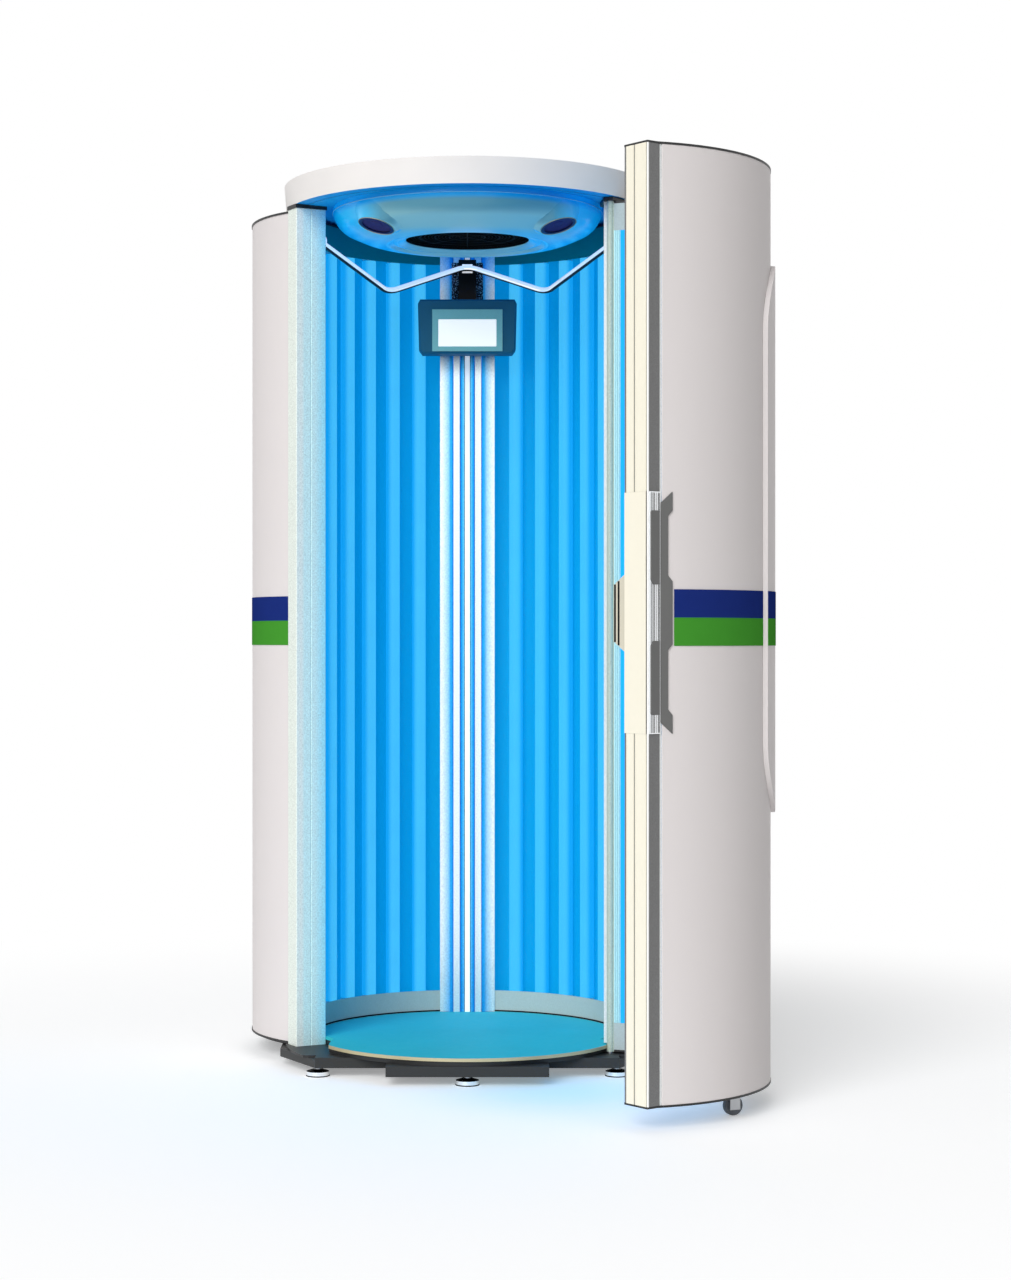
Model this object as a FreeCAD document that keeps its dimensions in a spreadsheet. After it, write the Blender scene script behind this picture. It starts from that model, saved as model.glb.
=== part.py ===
"""Vertical tanning booth: two fixed lamp cabinets, a hinged lamp door, a floor and a canopy.

Frame: +Z up, +X to the right, -Y to the front, where the user steps in.
The origin lies on the floor, on the axis that the lamps stand around, under the centre foot.
The door pieces are drawn in the closed position, where the door is concentric with that axis,
and are then turned about the hinge line to the open position.
"""
import FreeCAD, Part
import math
import os
import Sketcher

SIZES = {
    # Overall heights
    "ground_gap": 48,            # floor to the underside of the cabinets
    "module_height": 2150,       # height of a lamp cabinet
    "canopy_height": 66,         # height of the canopy band above the post caps
    # Radii about the booth axis
    "cover_radius": 403,         # inner face of the lamp covers
    "cover_thickness": 3,
    "lamp_gap": 3,
    "lamp_diameter": 38,
    "lamp_end_room": 75,         # from the end of a cabinet to the end of a lamp
    "sill_step": 2,              # how much taller the sill bands are than the header bands
    "holder_width": 26,
    "gear_width": 75,
    "gear_length": 120,
    "gear_height": 190,
    "reflector_gap": 1,
    "reflector_thickness": 1.5,
    "lamp_start": 18.2,          # first lamp, in degrees from the back centre line
    "lamp_pitch": 10.35,
    "door_lamp_pitch": 9.5,
    # Front posts, placed at the inner front corner of the left one
    "post_inset": 38.5,          # inside the lamp covers' inner face
    "post_y": -51,
    "post_slant": 28.2,
    "post_width": 84,
    "post_depth": 50,
    "post_wall": 3,
    "post_cap_height": 10,
    "cap_overhang": 2,
    # Rear posts and the strip between them
    "rear_post_width": 75,
    "rear_post_recess": 15,
    "rear_post_depth": 64,
    "strip_half_width": 7,
    # Cabinet shells
    "shell_centre_x": 205,
    "shell_centre_y": 235,
    "shell_tuck": 9.4,           # how far inside the post's outer corner the shell meets it
    "shell_thickness": 2.5,
    "cap_thickness": 5,
    "band_thickness": 4,
    # Coloured bands on the shells
    "stripe_bottom": 1077,
    "stripe_height": 63,
    "stripe_thickness": 1,
    "seat_gap": 0.3,
    # Door
    "door_open_angle": 99.3,
    "hinge_inset": 3.5,
    "hinge_y": -187,
    "door_lift": 4,
    "door_head_room": 2,
    "door_mid_angle": 262.2,
    "door_shell_offset": 70,
    "door_shell_proud": 3.2,     # how far outside the leading profile's corner the shell runs
    "leading_gap": 6,
    "leading_inset": 3,
    "leading_width": 78,
    "leading_depth": 41,
    "hinge_nose_radius": 9,
    "hinge_block_width": 46,
    "hinge_profile_width": 24,
    "hinge_profile_depth": 10,
    "pin_radius": 5,
    "pin_clearance": 0.05,
    "pin_length": 40,
    "retainer_width": 17,
    "front_panel_width": 354,
    "front_panel_height": 1296,
    "front_panel_bottom": 681,
    "front_panel_thickness": 11,
    # Door furniture
    "handle_bottom": 882,
    "handle_height": 537,
    "handle_projection": 4,
    "handle_width": 31,
    "pad_inset": 42,
    "pad_height": 164,
    "pad_width": 25,
    "pad_rise": 2.5,
    "bracket_spine": 17,
    "bracket_tab": 27.5,
    "bracket_tab_height": 41,
    "bracket_middle_height": 140,
    "bracket_shoulder": 13,
    "bracket_end_slope": 26,
    "face_plate_thickness": 2.5,
    "face_plate_width": 71,
    "inner_seal_start": 9,
    "inner_seal_width": 25,
    "outer_seal_start": 38.5,
    "outer_seal_width": 36.5,
    "seal_thickness": 2,
    "grip_bottom": 1063,
    "grip_height": 174,
    "grip_projection": 38,
    "grip_width": 22,
    "grip_slope": 23,
    # Door roller
    "roller_inset": 4.8,
    "roller_bearing": 52.778,
    "roller_radius": 23,
    "roller_width": 18,
    "roller_axle_radius": 4,
    "fork_length": 26,
    # Base
    "beam_width": 40,
    "beam_height": 26,
    "plate_thickness": 6,
    "front_beam_y": -265,
    "front_beam_overrun": 19,
    "outrigger_y": -396,
    "outrigger_reach": 200,
    "side_beam_overhang": 77,
    "rear_beam_overhang": 117,
    "base_plate_margin": 67,
    "disc_gap": 5,
    "disc_thickness": 8,
    "disc_support_height": 12,
    "disc_overhang": 6,
    "rim_width": 3,
    "foot_radius": 29,
    "foot_height": 17,
    "stem_radius": 5,
    "side_foot_y": 120,
    "rear_foot_x": 230,
    # Canopy, ceiling and fan
    "canopy_y": 90,
    "canopy_overhang": 77,
    "canopy_lip_width": 40,
    "canopy_taper": 6,
    "canopy_wall": 3,
    "dome_gap": 1,
    "dome_depth": 96,            # lowest point of the ceiling moulding, below the roof
    "dome_thickness": 3,
    "fan_radius": 160,
    "speaker_inset": 43.8,
    "speaker_bearing": 41.945,
    "speaker_drop": 70.5,
    "speaker_radius": 47,
    "speaker_tilt": 20,
    "rotor_radius": 150,
    "hub_radius": 45,
    "hub_height": 40,
    "blade_thickness": 3,
    "motor_radius": 38,
    # Hand bar and control panel
    "bar_radius": 8,
    "bar_end_drop": 79,          # these drops are measured from the top of the cabinets
    "bar_low_x": 213,
    "bar_low_y": 240,
    "bar_low_drop": 172,
    "bar_peak_gap": 12,
    "bar_peak_drop": 90,
    "bar_bend_radius": 60,
    "saddle_width": 28,
    "saddle_height": 24,
    "column_half_width": 24,
    "column_depth": 49.7,
    "column_drop": 70,
    "panel_half_width": 134,
    "panel_drop": 333,
    "panel_height": 147,
    "panel_depth": 62,
    "panel_corner": 12,
    "panel_bevel": 5,
    "bezel_half_width": 95,
    "bezel_height": 113,
    "bezel_thickness": 4,
    "screen_half_width": 78.5,
    "screen_height": 73,
    "screen_rise": 19,
}

FITS = {
    # Places and radii that follow from the sizes, so that neighbours stay together
    "lamp_circle": "sizes.cover_radius + sizes.cover_thickness + sizes.lamp_gap + sizes.lamp_diameter / 2",
    "reflector_radius": "lamp_circle + sizes.lamp_diameter / 2 + sizes.reflector_gap",
    "post_x": "sizes.cover_radius - sizes.post_inset",
    "hinge_x": "post_x - sizes.hinge_inset",
    "rear_post_front": "sizes.cover_radius - sizes.rear_post_recess",
    "rear_post_back": "rear_post_front + sizes.rear_post_depth",
    "roller_x": "-(lamp_circle - sizes.roller_inset) * cos(sizes.roller_bearing)",
    "roller_y": "-(lamp_circle - sizes.roller_inset) * sin(sizes.roller_bearing)",
    "front_beam_reach": "hinge_x + sizes.front_beam_overrun",
    "side_beam_x": "sizes.cover_radius + sizes.side_beam_overhang",
    "rear_beam_y": "sizes.cover_radius + sizes.rear_beam_overhang",
    "base_plate_radius": "sizes.cover_radius + sizes.base_plate_margin",
    "disc_radius": "sizes.cover_radius - sizes.disc_gap",
    "disc_support_radius": "disc_radius - sizes.disc_overhang",
    "canopy_radius": "sizes.cover_radius + sizes.canopy_overhang",
    "canopy_lip_radius": "canopy_radius - sizes.canopy_lip_width",
    "dome_radius": "canopy_lip_radius - sizes.canopy_y - sizes.dome_gap",
    "dome_run": "dome_radius - 19 - (sizes.fan_radius + 47)",
    "speaker_x": "(dome_radius - sizes.speaker_inset) * cos(sizes.speaker_bearing)",
    "speaker_y": "-(dome_radius - sizes.speaker_inset) * sin(sizes.speaker_bearing)",
    "column_front": "rear_post_front - 4 - sizes.seat_gap - sizes.column_depth",
    "bar_peak_y": "column_front - sizes.bar_peak_gap",
}

LAMPS_PER_CABINET = 8
LAMPS_IN_DOOR = 12
GEAR_BOXES = 5                   # control gear boxes in each cabinet
BLADES = 5

doc = FreeCAD.newDocument("tanning_booth")


def add_sheet(name, entries):
    """A sheet with one named cell for each entry."""
    page = doc.addObject("Spreadsheet::Sheet", name)
    for row, (alias, content) in enumerate(entries.items(), start=1):
        page.set("A%d" % row, alias)
        page.set("B%d" % row, str(content))
        page.setAlias("B%d" % row, alias)
    doc.recompute()
    return page


sheet = add_sheet("sizes", SIZES)
add_sheet("fits", {alias: "=" + formula for alias, formula in FITS.items()})

nodes = []


# ---------------------------------------------------------------- helpers
def value(expression):
    """The number that a size expression gives."""
    return float(sheet.evalExpression(expression))


def place(x="0", y="0", z="0", turn="0"):
    """A placement expression: a turn about Z, then a move."""
    return "placement(vector(%s; %s; %s); rotation(vector(0; 0; 1); %s))" % (x, y, z, turn)


def keep(piece, name, closed_door=False):
    """Names a finished piece as a node, and opens it with the door if it rides on it."""
    if closed_door:
        piece = group(piece)
        piece.setExpression("Placement", OPEN_DOOR)
    piece.Label = name
    nodes.append(piece)
    return piece


def block(x, y, z, length, width, height, turn="0"):
    """A box with its corner at x, y, z."""
    box = doc.addObject("Part::Box", "block")
    box.setExpression("Length", length)
    box.setExpression("Width", width)
    box.setExpression("Height", height)
    box.setExpression("Placement", place(x, y, z, turn))
    return box


def rod(x, y, z, radius, height):
    """An upright cylinder."""
    cylinder = doc.addObject("Part::Cylinder", "rod")
    cylinder.setExpression("Radius", radius)
    cylinder.setExpression("Height", height)
    cylinder.setExpression("Placement", place(x, y, z))
    return cylinder


def cut(base, *tools):
    """The base piece less each tool in turn."""
    for tool in tools:
        result = doc.addObject("Part::Cut", "cut")
        result.Base = base
        result.Tool = tool
        base = result
    return base


def common(first, second):
    result = doc.addObject("Part::Common", "common")
    result.Base = first
    result.Tool = second
    return result


def fuse(*pieces):
    result = doc.addObject("Part::MultiFuse", "fuse")
    result.Shapes = list(pieces)
    return result


def group(*pieces):
    """Separate solids that share one node."""
    result = doc.addObject("Part::Compound", "group")
    result.Links = list(pieces)
    return result


def mirror(piece):
    """The right-hand twin of a left-hand piece."""
    result = doc.addObject("Part::Mirroring", "mirror")
    result.Source = piece
    result.Normal = FreeCAD.Vector(1, 0, 0)
    return result


def sector(inner, outer, start, sweep, z, height, x="0", y="0"):
    """A curved wall: part of a ring about an upright axis."""
    walls = []
    for radius, extra in ((outer, "0"), (inner, "1")):
        wall = doc.addObject("Part::Cylinder", "wall")
        wall.setExpression("Radius", radius)
        wall.setExpression("Angle", sweep if extra == "0" else "min(360; (%s) + 2)" % sweep)
        wall.setExpression("Height", "(%s) + 2 * %s" % (height, extra))
        turn = "(%s) - %s" % (start, extra)
        wall.setExpression("Placement", place(x, y, "(%s) - %s" % (z, extra), turn))
        walls.append(wall)
    return cut(walls[0], walls[1])


def origin_plane(body, role):
    return [item for item in body.Origin.OriginFeatures if item.Role == role][0]


def sketch_in(body, role="XY_Plane"):
    sketch = body.newObject("Sketcher::SketchObject", "section")
    sketch.AttachmentSupport = [(origin_plane(body, role), "")]
    sketch.MapMode = "FlatFace"
    return sketch


def pin_point(sketch, line, axis, expression):
    """Ties one coordinate of a line's start point to a size expression."""
    index = sketch.addConstraint(Sketcher.Constraint(axis, -1, 1, line, 1, value(expression)))
    sketch.setExpression("Constraints[%d]" % index, expression)


def outline(sketch, corners):
    """A closed outline of straight sides through the corners, given as size expressions."""
    first = sketch.GeometryCount
    points = [FreeCAD.Vector(value(x), value(y), 0) for x, y in corners]
    for start, end in zip(points, points[1:] + points[:1]):
        sketch.addGeometry(Part.LineSegment(start, end), False)
    count = len(corners)
    for i in range(count):
        follower = first + (i + 1) % count
        sketch.addConstraint(Sketcher.Constraint("Coincident", first + i, 2, follower, 1))
    for i, (x, y) in enumerate(corners):
        pin_point(sketch, first + i, "DistanceX", x)
        pin_point(sketch, first + i, "DistanceY", y)


def extrusion(outlines, length, placement):
    """A body padded upwards from one section with its inner outlines as openings."""
    body = doc.addObject("PartDesign::Body", "extrusion")
    section = sketch_in(body)
    for corners in outlines:
        outline(section, corners)
    pad = body.newObject("PartDesign::Pad", "pad")
    pad.Profile = section
    pad.setExpression("Length", length)
    body.setExpression("Placement", placement)
    doc.recompute()
    return body


def turned(corners, placement):
    """A body turned about its own Z axis from a half section of radius, height corners."""
    body = doc.addObject("PartDesign::Body", "turned")
    section = sketch_in(body, "XZ_Plane")
    outline(section, corners)
    turning = body.newObject("PartDesign::Revolution", "turning")
    turning.Profile = section
    turning.ReferenceAxis = (section, ["V_Axis"])
    turning.Angle = 360
    body.setExpression("Placement", placement)
    doc.recompute()
    return body


def round_upright_edges(body, corners, radius, kind="Fillet"):
    """Rounds or chamfers the upright edges of a body that stand on the given corners."""
    base = body.Tip
    names = []
    for number, edge in enumerate(base.Shape.Edges, start=1):
        ends = [vertex.Point for vertex in edge.Vertexes]
        if len(ends) != 2 or math.hypot(ends[0].x - ends[1].x, ends[0].y - ends[1].y) > 0.01:
            continue
        for x, y in corners:
            if math.hypot(ends[0].x - value(x), ends[0].y - value(y)) < 0.05:
                names.append("Edge%d" % number)
    dressing = body.newObject("PartDesign::" + kind, kind.lower())
    dressing.Base = (base, names)
    dressing.setExpression("Radius" if kind == "Fillet" else "Size", radius)
    body.Tip = dressing
    doc.recompute()
    return body


def rounded_path(points, radii, chords=0):
    """Edges of straight runs through the points, with a tangent arc, or chords of it, at each inner point."""
    edges = []
    start = points[0]
    for before, corner, after, radius in zip(points, points[1:], points[2:], radii):
        back = (before - corner).normalize()
        ahead = (after - corner).normalize()
        half = back.getAngle(ahead) / 2
        entry = corner + back * (radius / math.tan(half))
        leave = corner + ahead * (radius / math.tan(half))
        edges.append(Part.LineSegment(start, entry).toShape())
        if radius:
            centre = corner + (back + ahead).normalize() * (radius / math.sin(half))
            middle = centre + (corner - centre).normalize() * radius
            arc = Part.Arc(entry, middle, leave).toShape()
            if chords:
                edges += Part.makePolygon(arc.discretize(chords + 1)).Edges
            else:
                edges.append(arc)
        start = leave
    edges.append(Part.LineSegment(start, points[-1]).toShape())
    return edges


# ---------------------------------------------------------------- shared expressions
BOTTOM = "sizes.ground_gap"
POST_TURN = "(180 + sizes.post_slant)"
TOP = "(sizes.ground_gap + sizes.module_height)"
CAPS_TOP = "(%s + sizes.post_cap_height)" % TOP
HEIGHT = "sizes.module_height"
GAP = "sizes.seat_gap"
INNER_HEIGHT = "(sizes.module_height - 2 * sizes.cap_thickness)"
INNER_BOTTOM = "(sizes.ground_gap + sizes.cap_thickness)"

LAMP_LENGTH = "(sizes.module_height - 2 * sizes.lamp_end_room)"
HEADER_HEIGHT = "sizes.lamp_end_room"
SILL_HEIGHT = "(sizes.lamp_end_room + sizes.sill_step)"

DOOR_BOTTOM = "(sizes.ground_gap + sizes.door_lift)"
DOOR_HEIGHT = "(sizes.module_height - sizes.door_lift - sizes.door_head_room)"
DOOR_INNER_BOTTOM = "(%s + sizes.cap_thickness)" % DOOR_BOTTOM
DOOR_INNER_HEIGHT = "(%s - 2 * sizes.cap_thickness)" % DOOR_HEIGHT
DOOR_SHELL_X = "(sizes.door_shell_offset * cos(sizes.door_mid_angle))"
DOOR_SHELL_Y = "(sizes.door_shell_offset * sin(sizes.door_mid_angle))"

HINGE_BEARING = "atan2(sizes.hinge_y; fits.hinge_x)"
OPEN_DOOR = (
    "placement(vector(0; 0; 0); rotation(vector(0; 0; 1); sizes.door_open_angle); "
    "vector(fits.hinge_x; sizes.hinge_y; 0))")

# The hinge line, measured along and across the front face of the right post.
HINGE_ALONG = (
    "((fits.hinge_x - fits.post_x) * cos(sizes.post_slant)"
    " - (sizes.hinge_y - sizes.post_y) * sin(sizes.post_slant))")
HINGE_ACROSS = (
    "((fits.hinge_x - fits.post_x) * sin(sizes.post_slant)"
    " + (sizes.hinge_y - sizes.post_y) * cos(sizes.post_slant))")


def left_post_place(z):
    """The left post's own frame: X outwards along its face, Y to the front."""
    return place("-fits.post_x", "sizes.post_y", z, POST_TURN)


def right_post_place(z):
    """The right post's own frame: X outwards along its face, Y to the back."""
    return place("fits.post_x", "sizes.post_y", z, "-sizes.post_slant")


def hinge_place(z):
    """The hinge frame with the door closed: X outwards, the door lies on the -Y side."""
    return place("fits.hinge_x", "sizes.hinge_y", z, HINGE_BEARING)


def offset_in_post_frame(along, across):
    """Global x and y expressions of a point given in the left post's frame."""
    x = "(-fits.post_x - (%s) * cos(sizes.post_slant) + (%s) * sin(sizes.post_slant))"
    y = "(sizes.post_y - (%s) * sin(sizes.post_slant) - (%s) * cos(sizes.post_slant))"
    return x % (along, across), y % (along, across)


POST_OUTER_CORNER = offset_in_post_frame("sizes.post_width", "-sizes.post_depth")
SHELL_RADIUS = (
    "(sqrt((%s + sizes.shell_centre_x) ^ 2 + (%s - sizes.shell_centre_y) ^ 2) - sizes.shell_tuck)"
    % POST_OUTER_CORNER)
LEADING_CORNER = offset_in_post_frame("sizes.leading_inset", "sizes.leading_gap + sizes.leading_depth")
DOOR_SHELL_CORNER = offset_in_post_frame(
    "(sizes.leading_inset + sizes.leading_width)", "(sizes.leading_gap + sizes.leading_depth)")
DOOR_SHELL_RADIUS = (
    "(sqrt((%s - %s) ^ 2 + (%s - %s) ^ 2) + sizes.door_shell_proud)"
    % (DOOR_SHELL_CORNER[0], DOOR_SHELL_X, DOOR_SHELL_CORNER[1], DOOR_SHELL_Y))
DOOR_SWEEP = (
    "(sqrt(((%s) - fits.hinge_x) ^ 2 + ((%s) - sizes.hinge_y) ^ 2) - 1)" % LEADING_CORNER)


# ---------------------------------------------------------------- cutting tools
def front_cutter():
    """Everything in front of the back face of the left post."""
    x, y = offset_in_post_frame("-300", "-sizes.post_depth - sizes.seat_gap")
    return block(x, y, "-10", "900", "900", "4000", POST_TURN)


def middle_cutter(edge):
    """Everything to the right of an upright plane at x = -edge."""
    return block("-(%s)" % edge, "-1000", "-10", "2000", "2500", "4000")


def leading_cutter():
    """Everything between the left post and the back face of the door's leading profile."""
    x, y = offset_in_post_frame("-300", "-900")
    depth = "900 + sizes.leading_gap + sizes.leading_depth + sizes.seat_gap"
    return block(x, y, "-10", "900", depth, "4000", POST_TURN)


def hinge_cutter(depth):
    """Everything on the post side of a plane that lies depth inside the hinge end."""
    piece = doc.addObject("Part::Box", "hinge_cutter")
    piece.setExpression("Length", "500")
    piece.setExpression("Width", "600")
    piece.setExpression("Height", "4000")
    shift_x = "fits.hinge_x - 150 * cos(%s) + (%s) * sin(%s)" % (HINGE_BEARING, depth, HINGE_BEARING)
    shift_y = "sizes.hinge_y - 150 * sin(%s) - (%s) * cos(%s)" % (HINGE_BEARING, depth, HINGE_BEARING)
    piece.setExpression("Placement", place(shift_x, shift_y, "-10", HINGE_BEARING))
    return piece


# ---------------------------------------------------------------- base
def base_frame():
    """Welded box-section frame: front beam, forward outrigger, rim beams and a spine."""
    width = "sizes.beam_width"
    low = "sizes.ground_gap - sizes.beam_height"
    tall = "sizes.beam_height"
    under_plate = "sizes.beam_height - sizes.plate_thickness"
    reach = "fits.front_beam_reach"
    out_reach = "sizes.outrigger_reach"
    front = "sizes.front_beam_y"
    run = "(fits.side_beam_x - fits.front_beam_reach)"
    slant = "sizes.post_slant + 33"
    beams = [
        block("-" + reach, front, low, "2 * " + reach, width, tall),
        block("-" + out_reach, "sizes.outrigger_y", low, "2 * " + out_reach, width, tall),
        block("-%s / 2" % width, front, low, width, "fits.rear_beam_y - " + front, under_plate),
    ]
    leg = "%s - sizes.outrigger_y" % front
    for side in ("-" + out_reach, "%s - %s" % (out_reach, width)):
        beams.append(block(side, "sizes.outrigger_y", low, width, leg, tall))
    slope_length = "%s / cos(%s)" % (run, slant)
    slope_end = "(%s + %s * tan(%s))" % (front, run, slant)
    sloping = block("-%s + %s * sin(%s)" % (reach, width, slant), "%s + %s * cos(%s)" % (front, width, slant),
                    low, slope_length, width, under_plate, "180 - (%s)" % slant)
    side = block("-fits.side_beam_x", slope_end, low, width,
                 "fits.rear_beam_y - %s" % slope_end, under_plate)
    rear = block("-fits.side_beam_x", "fits.rear_beam_y - " + width, low,
                 "fits.side_beam_x", width, under_plate)
    trim = block("-2000", "-1000", "0", "2000 - fits.side_beam_x", "2500", "200")
    left_side = cut(fuse(sloping, side, rear), trim)
    frame = fuse(*beams, left_side, mirror(left_side))
    frame.Refine = True
    return keep(cut(frame, lower_hinge_block(GAP)), "base_frame")


def lower_hinge_block(margin="0"):
    """Block behind the end of the front beam that carries the lower hinge pin."""
    back_of_beam = "sizes.front_beam_y + sizes.beam_width + " + GAP
    width = "sizes.hinge_block_width"
    x = "fits.hinge_x - %s / 2 + 14 - %s" % (width, margin)
    length = "sizes.hinge_y + 22 - (%s)" % back_of_beam
    z = "%s - sizes.beam_height - %s" % (BOTTOM, margin)
    return block(x, "%s - %s" % (back_of_beam, margin), z, "%s + 2 * %s" % (width, margin),
                 "%s + 2 * %s" % (length, margin), "sizes.beam_height + 2 * " + margin)


def base_plate():
    """Sheet that the cabinets stand on, behind the front beam."""
    z = "sizes.ground_gap - sizes.plate_thickness"
    thick = "sizes.plate_thickness"
    inset = SHELL_RADIUS + " - 12"
    left = rod("-sizes.shell_centre_x", "sizes.shell_centre_y", z, inset, thick)
    right = rod("sizes.shell_centre_x", "sizes.shell_centre_y", z, inset, thick)
    middle = rod("0", "0", z, "fits.base_plate_radius", thick)
    back_of_beam = "sizes.front_beam_y + sizes.beam_width"
    front = block("-1000", "-1000", "0", "2000", "1000 + %s" % back_of_beam, "200")
    return keep(cut(fuse(left, right, middle), front, lower_hinge_block(GAP)), "base_plate")


def notch_tools():
    """Clearance in the standing area round the posts, the hinge and the swing of the door."""
    corner = offset_in_post_frame("-" + GAP, "-sizes.post_depth - " + GAP)
    tall = "100"
    left = block(corner[0], corner[1], BOTTOM, "300", "400", tall, POST_TURN)
    swing = sector(DOOR_SWEEP, DOOR_SWEEP + " + 200", "150", "45", BOTTOM, tall,
                   "fits.hinge_x", "sizes.hinge_y")
    right = block(corner[0], corner[1], BOTTOM, "300", "2 * sizes.post_depth", tall, POST_TURN)
    nose = rod("fits.hinge_x", "sizes.hinge_y", BOTTOM, "sizes.hinge_nose_radius + 2", tall)
    clear = "sizes.rear_post_width + " + GAP
    rear = block("-(%s)" % clear, "fits.rear_post_front - 4 - " + GAP, BOTTOM, "2 * (%s)" % clear,
                 "100", tall)
    return [common(left, swing), mirror(right), nose, rear]


def floor_pieces():
    """Standing disc, the edge trim round it and the support under it."""
    support = rod("0", "0", BOTTOM, "fits.disc_support_radius", "sizes.disc_support_height")
    level = "%s + sizes.disc_support_height" % BOTTOM
    disc = rod("0", "0", level, "fits.disc_radius", "sizes.disc_thickness")
    rim_outer = "fits.disc_radius + sizes.rim_width"
    rim = sector("fits.disc_radius", rim_outer, "0", "360", level, "sizes.disc_thickness")
    notches = notch_tools()
    keep(cut(support, *notches), "floor_support")
    keep(cut(disc, *notches), "floor_disc")
    keep(cut(rim, *notches), "floor_rim")


FEET = (
    ("0", "sizes.outrigger_y + sizes.beam_width / 2"),
    ("-fits.front_beam_reach + 6", "sizes.front_beam_y + sizes.beam_width / 2"),
    ("fits.front_beam_reach - 6", "sizes.front_beam_y + sizes.beam_width / 2"),
    ("0", "0"),
    ("-fits.side_beam_x + sizes.beam_width / 2", "sizes.side_foot_y"),
    ("fits.side_beam_x - sizes.beam_width / 2", "sizes.side_foot_y"),
    ("-sizes.rear_foot_x", "fits.rear_beam_y - sizes.beam_width / 2"),
    ("sizes.rear_foot_x", "fits.rear_beam_y - sizes.beam_width / 2"),
)


def levelling_feet():
    """Round pads on threaded stems under the frame."""
    pads = []
    stems = []
    radius = "sizes.foot_radius"
    for x, y in FEET:
        corners = (("0", "0"), (radius + " - 1.5", "0"), (radius, "1.5"), (radius, "12"),
                   (radius + " - 1.5", "13"), ("sizes.stem_radius + 9", "sizes.foot_height"),
                   ("0", "sizes.foot_height"))
        pads.append(turned(corners, place(x, y)))
        stem_length = "sizes.ground_gap - sizes.beam_height - sizes.foot_height"
        stems.append(rod(x, y, "sizes.foot_height", "sizes.stem_radius", stem_length))
    keep(group(*pads, *stems), "levelling_feet")


# ---------------------------------------------------------------- cabinets
def front_post():
    """Hollow aluminium extrusion at the front edge of the left cabinet."""
    width = "sizes.post_width"
    depth = "sizes.post_depth"
    wall = "sizes.post_wall"
    groove = "%s / 2" % width
    outer = (("0", "-" + depth), (width, "-" + depth), (width, "0"),
             (groove + " + 2", "0"), (groove + " + 1", "-1.2"), (groove + " - 1", "-1.2"),
             (groove + " - 2", "0"), ("0", "0"))
    chambers = []
    web = "%s * 0.45" % width
    for start, end in ((wall, "%s - %s / 2" % (web, wall)),
                       ("%s + %s / 2" % (web, wall), "%s - %s" % (width, wall))):
        chambers.append(((start, wall + " - " + depth), (end, wall + " - " + depth),
                         (end, "-%s - 1.2" % wall), (start, "-%s - 1.2" % wall)))
    body = extrusion([outer] + chambers, HEIGHT, left_post_place(BOTTOM))
    round_upright_edges(body, [(width, "0"), ("0", "0")], "2.5")
    return body


def rear_post():
    """Stepped extrusion beside the back centre line, left of the centre strip."""
    front = "fits.rear_post_front"
    back = "fits.rear_post_back"
    width = "sizes.rear_post_width"
    strip = "sizes.strip_half_width"
    wall = "sizes.post_wall"
    outer = (
        ("-" + strip, front), ("-18", front), ("-21", front + " - 4"), ("-38", front + " - 4"),
        ("-41", front), ("-50", front), ("-50", front + " + 4"), ("-" + width, front + " + 4"),
        ("-" + width, back), ("-1", back), ("-1", front + " + 8.3"), ("-" + strip, front + " + 8.3"))
    inner_front = "%s + 8.3 + %s" % (front, wall)
    chamber = (("%s - %s" % (wall, width), inner_front),
               ("%s - %s" % (wall, width), "%s - %s" % (back, wall)),
               ("-1 - %s" % wall, "%s - %s" % (back, wall)), ("-1 - %s" % wall, inner_front))
    return extrusion([outer, chamber], HEIGHT, place(z=BOTTOM))


def cabinet_wall(inner, outer, z, height):
    """A curved wall of the left cabinet, between the rear post and the front post."""
    whole = sector(inner, outer, "85", "120", z, height)
    return cut(whole, front_cutter(), middle_cutter("sizes.rear_post_width + sizes.seat_gap"))


def shell_sector(inner, outer, z, height):
    """A curved wall about the left cabinet's shell centre."""
    whole = sector(inner, outer, "40", "200", z, height, "-sizes.shell_centre_x", "sizes.shell_centre_y")
    return cut(whole, front_cutter(), middle_cutter("0.5"))


def cabinet_shell():
    """Bent sheet casing with a flange that is fixed to the rear post."""
    radius = SHELL_RADIUS
    thick = "sizes.shell_thickness"
    wall = shell_sector("%s - %s" % (radius, thick), radius, INNER_BOTTOM, INNER_HEIGHT)
    reach = "sizes.shell_centre_y + sqrt(%s ^ 2 - sizes.shell_centre_x ^ 2) - 1" % radius
    start = "fits.rear_post_back + sizes.seat_gap"
    flange = block("-0.5 - " + thick, start, INNER_BOTTOM, thick, "%s - (%s)" % (reach, start), INNER_HEIGHT)
    return fuse(wall, flange)


def cabinet_cap(z):
    """End plate of the left cabinet, between the lamp cover line and the shell."""
    plate = rod("-sizes.shell_centre_x", "sizes.shell_centre_y", z,
                SHELL_RADIUS + " + sizes.cap_overhang", "sizes.cap_thickness")
    inside = rod("0", "0", "-10", "sizes.cover_radius", "4000")
    post_gap = "sizes.rear_post_width + sizes.seat_gap"
    rear = block("-(%s)" % post_gap, "0", "-10", "2000", "fits.rear_post_back + sizes.seat_gap", "4000")
    return cut(plate, inside, front_cutter(), middle_cutter("0.5"), rear)


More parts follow.
